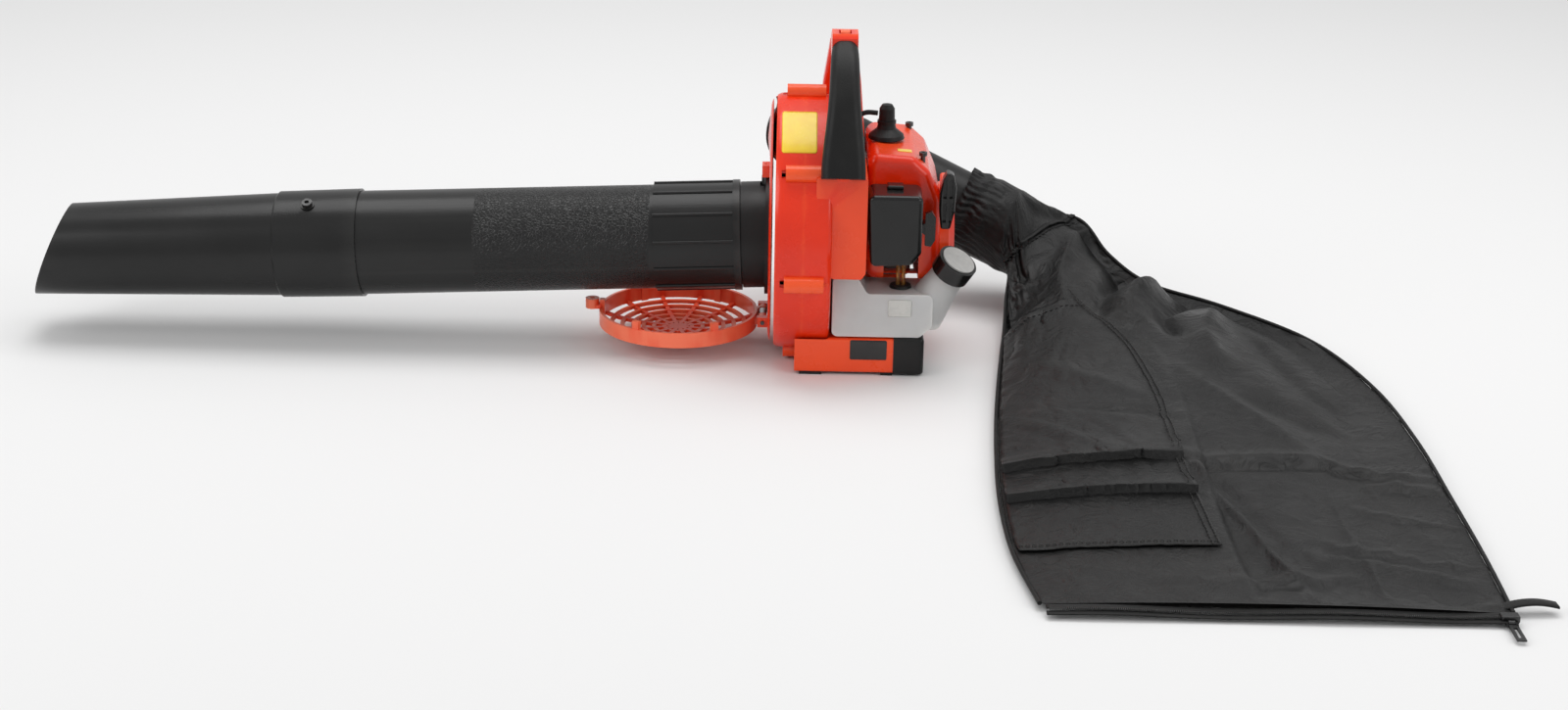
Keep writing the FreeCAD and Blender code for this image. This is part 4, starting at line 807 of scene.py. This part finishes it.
def sewn_strip(name, centres, width, thickness, finish, lift=0.0006):
    """A flat strip sewn along a line of places; each is (v, u) on the bag's upper panel."""
    points = [on_cloth(v, u, lift) for v, u in centres]
    return ribbon(name, points, width, thickness, finish)


def ribbon(name, points, width, thickness, finish, flat=Vector((0, 0, 1))):
    """A flat band through points, with its edges turned down a little."""
    vertices, faces = [], []
    across = [(-0.5, 0.0), (-0.4, 1.0), (0.4, 1.0), (0.5, 0.0), (0.4, -0.2), (-0.4, -0.2)]
    for index, point in enumerate(points):
        run = points[min(index + 1, len(points) - 1)] - points[max(index - 1, 0)]
        side = run.cross(flat).normalized()
        up = side.cross(run).normalized()
        for sideways, rise in across:
            vertices.append(point + side * (sideways * width) + up * (rise * thickness))
    count = len(across)
    for index in range(len(points) - 1):
        for k in range(count):
            a, b = index * count + k, index * count + (k + 1) % count
            faces.append((a, b, b + count, a + count))
    faces.append(tuple(range(count - 1, -1, -1)))
    faces.append(tuple(range(len(vertices) - count, len(vertices))))
    band = mesh_object(name, vertices, faces)
    band.data.materials.append(finish)
    return band


def stitches(name, centres, over_pocket=False, length=0.0034, gap=0.0022, thickness=0.0005, lift=0.0012):
    """A row of separate thread stitches along a line of (v, u) places."""
    points = [on_cloth(v, u, lift + (pocket_lift(v, u) if over_pocket else 0)) for v, u in centres]
    vertices, faces = [], []
    walked, next_stitch = 0.0, 0.0
    for start, end in zip(points, points[1:]):
        run = (end - start).length
        while run > 0 and next_stitch < walked + run:
            centre = start.lerp(end, (next_stitch - walked) / run)
            add_stitch(vertices, faces, centre, (end - start).normalized(), length, thickness)
            next_stitch += length + gap
        walked += run
    row = mesh_object(name, vertices, faces)
    row.data.materials.append(thread_black)
    return row


def add_stitch(vertices, faces, centre, along, length, thickness):
    """One stitch: a short four-sided thread whose ends dive into the cloth."""
    side = along.cross(Vector((0, 0, 1))).normalized() * thickness
    up = side.cross(along).normalized() * thickness
    first = len(vertices)
    for share, drop in ((-0.5, 1.8), (-0.25, 0.0), (0.25, 0.0), (0.5, 1.8)):
        middle = centre + along * (length * share) - up * drop
        vertices += [middle + side, middle + up, middle - side, middle - up]
    for k in range(3):
        for corner in range(4):
            a, b = first + 4 * k + corner, first + 4 * k + (corner + 1) % 4
            faces.append((a, b, b + 4, a + 4))
    faces.append((first + 3, first + 2, first + 1, first))
    faces.append(tuple(range(first + 12, first + 16)))


def line(start, end, steps):
    """Evenly spaced (v, u) places from start to end."""
    return [(start[0] + (end[0] - start[0]) * k / steps, start[1] + (end[1] - start[1]) * k / steps)
            for k in range(steps + 1)]


def sew_on(obj):
    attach(obj, "blower")
    return obj


# %% [markdown]
# ### Seams, pocket and pleats
#
# The sleeve is sewn to the body with a seam that crosses the shoulder and ends in a small
# stiff peak. Down the front half of the upper panel lies a pocket for leaves that are
# picked up by hand: a second layer of cloth, open at its top, with two pleats near the
# bottom so that it can swell. It has its own thickness, its edge casts a shadow, and two
# rows of stitches hold its side.

# %% Seams and pocket
SHOULDER = 0.30
POCKET_TOP, POCKET_BOTTOM = 0.50, 0.925
POCKET_SIDE = 0.44
PLEATS = (0.80, 0.85)
PLEAT_RISE = 0.0085       # height of a pleat's crest, in metres
PLEAT_REACH = 0.012       # how far above its line a pleat starts to rise, as a share of the bag
PLEAT_LEAN, LEAN_REACH = 0.007, 0.005
POCKET_LIE, POCKET_FILL, MOUTH_GAPE = 0.0022, 0.0032, 0.0035
CLOSEST_LIE = 0.0018      # the pocket is never nearer the bag than this
POCKET_ROWS, POCKET_COLUMNS = 120, 56


def pocket_side(v):
    """How far across the pocket reaches: a little less at its top than at its foot."""
    return POCKET_SIDE - 0.05 * (POCKET_BOTTOM - v) / (POCKET_BOTTOM - POCKET_TOP)


def pocket_lift(v, u):
    """Height of the pocket cloth above the bag, with its gaping top and its pleats."""
    down = (v - POCKET_TOP) / (POCKET_BOTTOM - POCKET_TOP)
    in_from_side = min(u, pocket_side(v) - u) / POCKET_SIDE
    filled = max(0.0, math.sin(math.pi * min(1, down + 0.1))) ** 0.5
    body = POCKET_LIE + POCKET_FILL * min(1.0, 5 * max(0, in_from_side)) * filled
    mouth = MOUTH_GAPE * math.exp(-down / 0.05) * min(1.0, 6 * max(0, in_from_side))
    pleats = 0.0
    for pleat in PLEATS:
        past = (v - pleat) / PLEAT_REACH
        if past < 0:
            pleats += PLEAT_RISE * math.exp(past / 1.2)
        else:
            pleats -= 0.0012 * math.exp(-past)
    return max(CLOSEST_LIE, body + mouth + pleats)


def pleat_overhang(v):
    """How far a pleat's crest leans over the cloth below it."""
    return sum(PLEAT_LEAN * math.exp((v - pleat) / LEAN_REACH) for pleat in PLEATS if v < pleat)


def pocket_piece():
    vertices, faces = [], []
    for row in range(POCKET_ROWS + 1):
        v = POCKET_TOP + (POCKET_BOTTOM - POCKET_TOP) * row / POCKET_ROWS
        for column in range(POCKET_COLUMNS + 1):
            u = 0.012 + (pocket_side(v) - 0.012) * column / POCKET_COLUMNS
            slant = 0.025 * (u / POCKET_SIDE) * (1 - row / POCKET_ROWS)
            vertices.append(on_cloth(v + slant + pleat_overhang(v), u, pocket_lift(v, u)))
    width = POCKET_COLUMNS + 1
    for row in range(POCKET_ROWS):
        for column in range(POCKET_COLUMNS):
            a = row * width + column
            faces.append((a, a + 1, a + 1 + width, a + width))
    made = mesh_object("pocket", vertices, faces)
    thickness = made.modifiers.new("thickness", "SOLIDIFY")
    thickness.thickness = 0.0007
    thickness.offset = 1.0
    made.data.materials.append(pocket_nylon)
    return sew_on(made)


pocket = pocket_piece()
SIDE_STEPS = 150
side_places = [POCKET_TOP + (POCKET_BOTTOM - POCKET_TOP) * k / SIDE_STEPS for k in range(SIDE_STEPS + 1)]
SIDE_LINE = [(v, pocket_side(v)) for v in side_places]
for number, inset in enumerate((0.006, 0.020)):
    row = stitches("pocket_stitches_%d" % (number + 1), [(v, u - inset) for v, u in SIDE_LINE],
                   over_pocket=True)
    sew_on(row)
HEM_LINE = line((POCKET_TOP + 0.012, 0.02), (POCKET_TOP + 0.034, 0.38), 120)
sew_on(stitches("pocket_hem_stitches", HEM_LINE, over_pocket=True))
FOOT_LINE = line((POCKET_BOTTOM - 0.006, 0.02), (POCKET_BOTTOM - 0.004, 0.43), 120)
sew_on(stitches("pocket_foot_stitches", FOOT_LINE, over_pocket=True))
sew_on(sewn_strip("shoulder_seam", line((SHOULDER, 0.01), (SHOULDER, 0.99), 160), 0.006, 0.0014,
                  binding_nylon, lift=0.0010))
sew_on(stitches("shoulder_stitches", line((SHOULDER + 0.008, 0.03), (SHOULDER + 0.008, 0.97), 160)))
print("pocket and seams sewn on")

# %% [markdown]
# ### Bound edges and the zip
#
# Both sides are finished with a narrow binding folded over the raw edges. The zip is a
# nylon coil zip: two tapes, and a coil of many small loops down the middle. The loops are
# real geometry because the slider stops beside them and the eye compares the two.

# %% Binding along both sides
def binding(name, u, from_ring=40):
    points = []
    for ring in range(from_ring, ALONG + 1, 2):
        place = on_cloth(ring / ALONG, u)
        points.append(place + Vector((-0.0005 if u == 0 else 0.0005, 0, 0.0004)))
    curve = bpy.data.curves.new(name, "CURVE")
    curve.dimensions = "3D"
    spline = curve.splines.new("NURBS")
    spline.points.add(len(points) - 1)
    for target, point in zip(spline.points, points):
        target.co = (*point, 1)
    spline.order_u = 3
    spline.use_endpoint_u = True
    curve.bevel_depth = 0.0019
    curve.bevel_resolution = 3
    curve.use_fill_caps = True
    edge = link(bpy.data.objects.new(name, curve))
    curve.materials.append(binding_nylon)
    return sew_on(edge)


binding("front_binding", 0)
binding("back_binding", 1)

# %% Zip tape, coil and pull loop
ZIP_LINE_Y, ZIP_LINE_Z = -0.6275, 0.0052
ZIP_START, ZIP_END = 0.184, 0.554
TAPE_STEPS = 120
slider_low, slider_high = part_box("zip_slider")


def zip_wave(x):
    """The small up and down of the zip as it lies on the floor."""
    calm = min(1.0, max(0.0, (slider_low.x - x) / 0.03))
    return 0.0009 * math.sin(x * 34) * calm


def zip_tapes():
    made = []
    for name, offset in (("upper_zip_tape", 0.0042), ("lower_zip_tape", -0.0042)):
        points = []
        for k in range(TAPE_STEPS + 1):
            x = ZIP_START + (ZIP_END - ZIP_START) * k / TAPE_STEPS
            points.append(Vector((x, ZIP_LINE_Y + offset, ZIP_LINE_Z + zip_wave(x) + offset * 0.18)))
        made.append(sew_on(ribbon(name, points, 0.0075, 0.0008, binding_nylon)))
    return made


def zip_coil():
    """A row of small hoops standing for the coil's turns."""
    vertices, faces = [], []
    pitch = 0.0016
    count = int((ZIP_END - ZIP_START - 0.006) / pitch)
    for turn in range(count):
        x = ZIP_START + 0.003 + pitch * turn
        z = ZIP_LINE_Z + zip_wave(x) + 0.0006
        first = len(vertices)
        for share in range(6):
            angle = math.pi * share / 5
            y = ZIP_LINE_Y + 0.0021 * math.cos(angle)
            height = z + 0.0012 * math.sin(angle)
            for side in (-0.00045, 0.00045):
                vertices.append(Vector((x + side, y, height)))
        for k in range(5):
            a = first + 2 * k
            faces.append((a, a + 1, a + 3, a + 2))
    coil = mesh_object("zip_coil", vertices, faces)
    body = coil.modifiers.new("body", "SOLIDIFY")
    body.thickness = 0.0005
    coil.data.materials.append(gloss_black)
    return sew_on(coil)


zip_tapes()
zip_coil()
LOOP_START, LOOP_LENGTH, LOOP_RISE = Vector((0.546, -0.6085, 0.0052)), 0.046, 0.0045
LOOP_STEPS = 24
loop_points = []
for k in range(LOOP_STEPS + 1):
    t = k / LOOP_STEPS
    rise = LOOP_RISE * math.sin(math.pi * t * 0.9)
    loop_points.append(LOOP_START + Vector((LOOP_LENGTH * t, 0.003 * t, rise)))
sew_on(ribbon("webbing_loop", loop_points, 0.012, 0.0016, binding_nylon))
print("zip has", round((ZIP_END - ZIP_START) * 1000), "mm of coil")

# %% [markdown]
# ## Blank stickers and the rating plate
#
# A yellow sticker on the housing, a small one on the cover, one on the tank and a dark
# plate on the foot break up the plain plastic and show how the shell turns. Their print
# is left out. Each is a thin film with round corners that is laid on the shell: a grid of
# points is pushed towards the shell until it touches, so the film follows the curve there.

# %% Stickers laid on the shell
STICKER_FILM = 0.0004
STICKER_REACH = 0.03
STICKER_CELLS = 26
MM = 0.001


def touch(node_names, start, inward):
    """The nearest place where a line from start meets any of the nodes, or None."""
    hits = []
    for name in node_names:
        hit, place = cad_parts[name].ray_cast(start, inward, distance=2 * STICKER_REACH)[:2]
        if hit:
            hits.append(place)
    return min(hits, key=lambda place: (place - start).length) if hits else None


def sticker(name, node_names, centre, right, up, size, corner, finish):
    """A film of size (wide, high) round centre, pressed onto the nodes; places in millimetres."""
    right, up = Vector(right).normalized(), Vector(up).normalized()
    outward = right.cross(up)
    vertices = []
    for row in range(STICKER_CELLS + 1):
        for column in range(STICKER_CELLS + 1):
            x, y = rounded_place(column, row, size, corner)
            start = (Vector(centre) + right * x + up * y) * MM + outward * STICKER_REACH
            place = touch(node_names, start, -outward) or start - outward * STICKER_REACH
            vertices.append(place + outward * STICKER_FILM)
    width = STICKER_CELLS + 1
    faces = [(a, a + 1, a + 1 + width, a + width)
             for a in range(STICKER_CELLS * width) if a % width < STICKER_CELLS]
    film = mesh_object(name, vertices, faces)
    thick = film.modifiers.new("film", "SOLIDIFY")
    thick.thickness = STICKER_FILM
    film.data.materials.append(finish)
    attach(film, "blower")
    return film


def rounded_place(column, row, size, corner):
    """A grid place in a rectangle whose corners are rounded by squeezing its outer rows in."""
    across, along = column / STICKER_CELLS * 2 - 1, row / STICKER_CELLS * 2 - 1
    half_wide, half_high = size[0] / 2, size[1] / 2
    y = along * half_high
    into = max(0.0, abs(y) - (half_high - corner))
    squeeze = corner - math.sqrt(max(0.0, corner ** 2 - into ** 2))
    return across * (half_wide - squeeze), y


ALONG_X, UPWARD, REARWARD = (1, 0, 0), (0, 0, 1), (0, 1, 0)
HOUSING_HALVES = ("volute_intake_half", "volute_engine_half")
sticker("housing_sticker", HOUSING_HALVES, (-15, -64, 238), ALONG_X, (0, 46, 30), (34, 54), 1.5,
        label_yellow)
sticker("cover_sticker", ("engine_cover",), (88, -38, 214.6), ALONG_X, REARWARD, (14, 9), 1.0,
        label_yellow)
sticker("tank_sticker", ("fuel_tank",), (86, -92, 70), ALONG_X, UPWARD, (23, 17), 1.0,
        label_line)
sticker("rating_plate", ("base",), (56.5, -94, 27), ALONG_X, UPWARD, (36, 20), 1.2,
        label_black)
print("stickers laid on")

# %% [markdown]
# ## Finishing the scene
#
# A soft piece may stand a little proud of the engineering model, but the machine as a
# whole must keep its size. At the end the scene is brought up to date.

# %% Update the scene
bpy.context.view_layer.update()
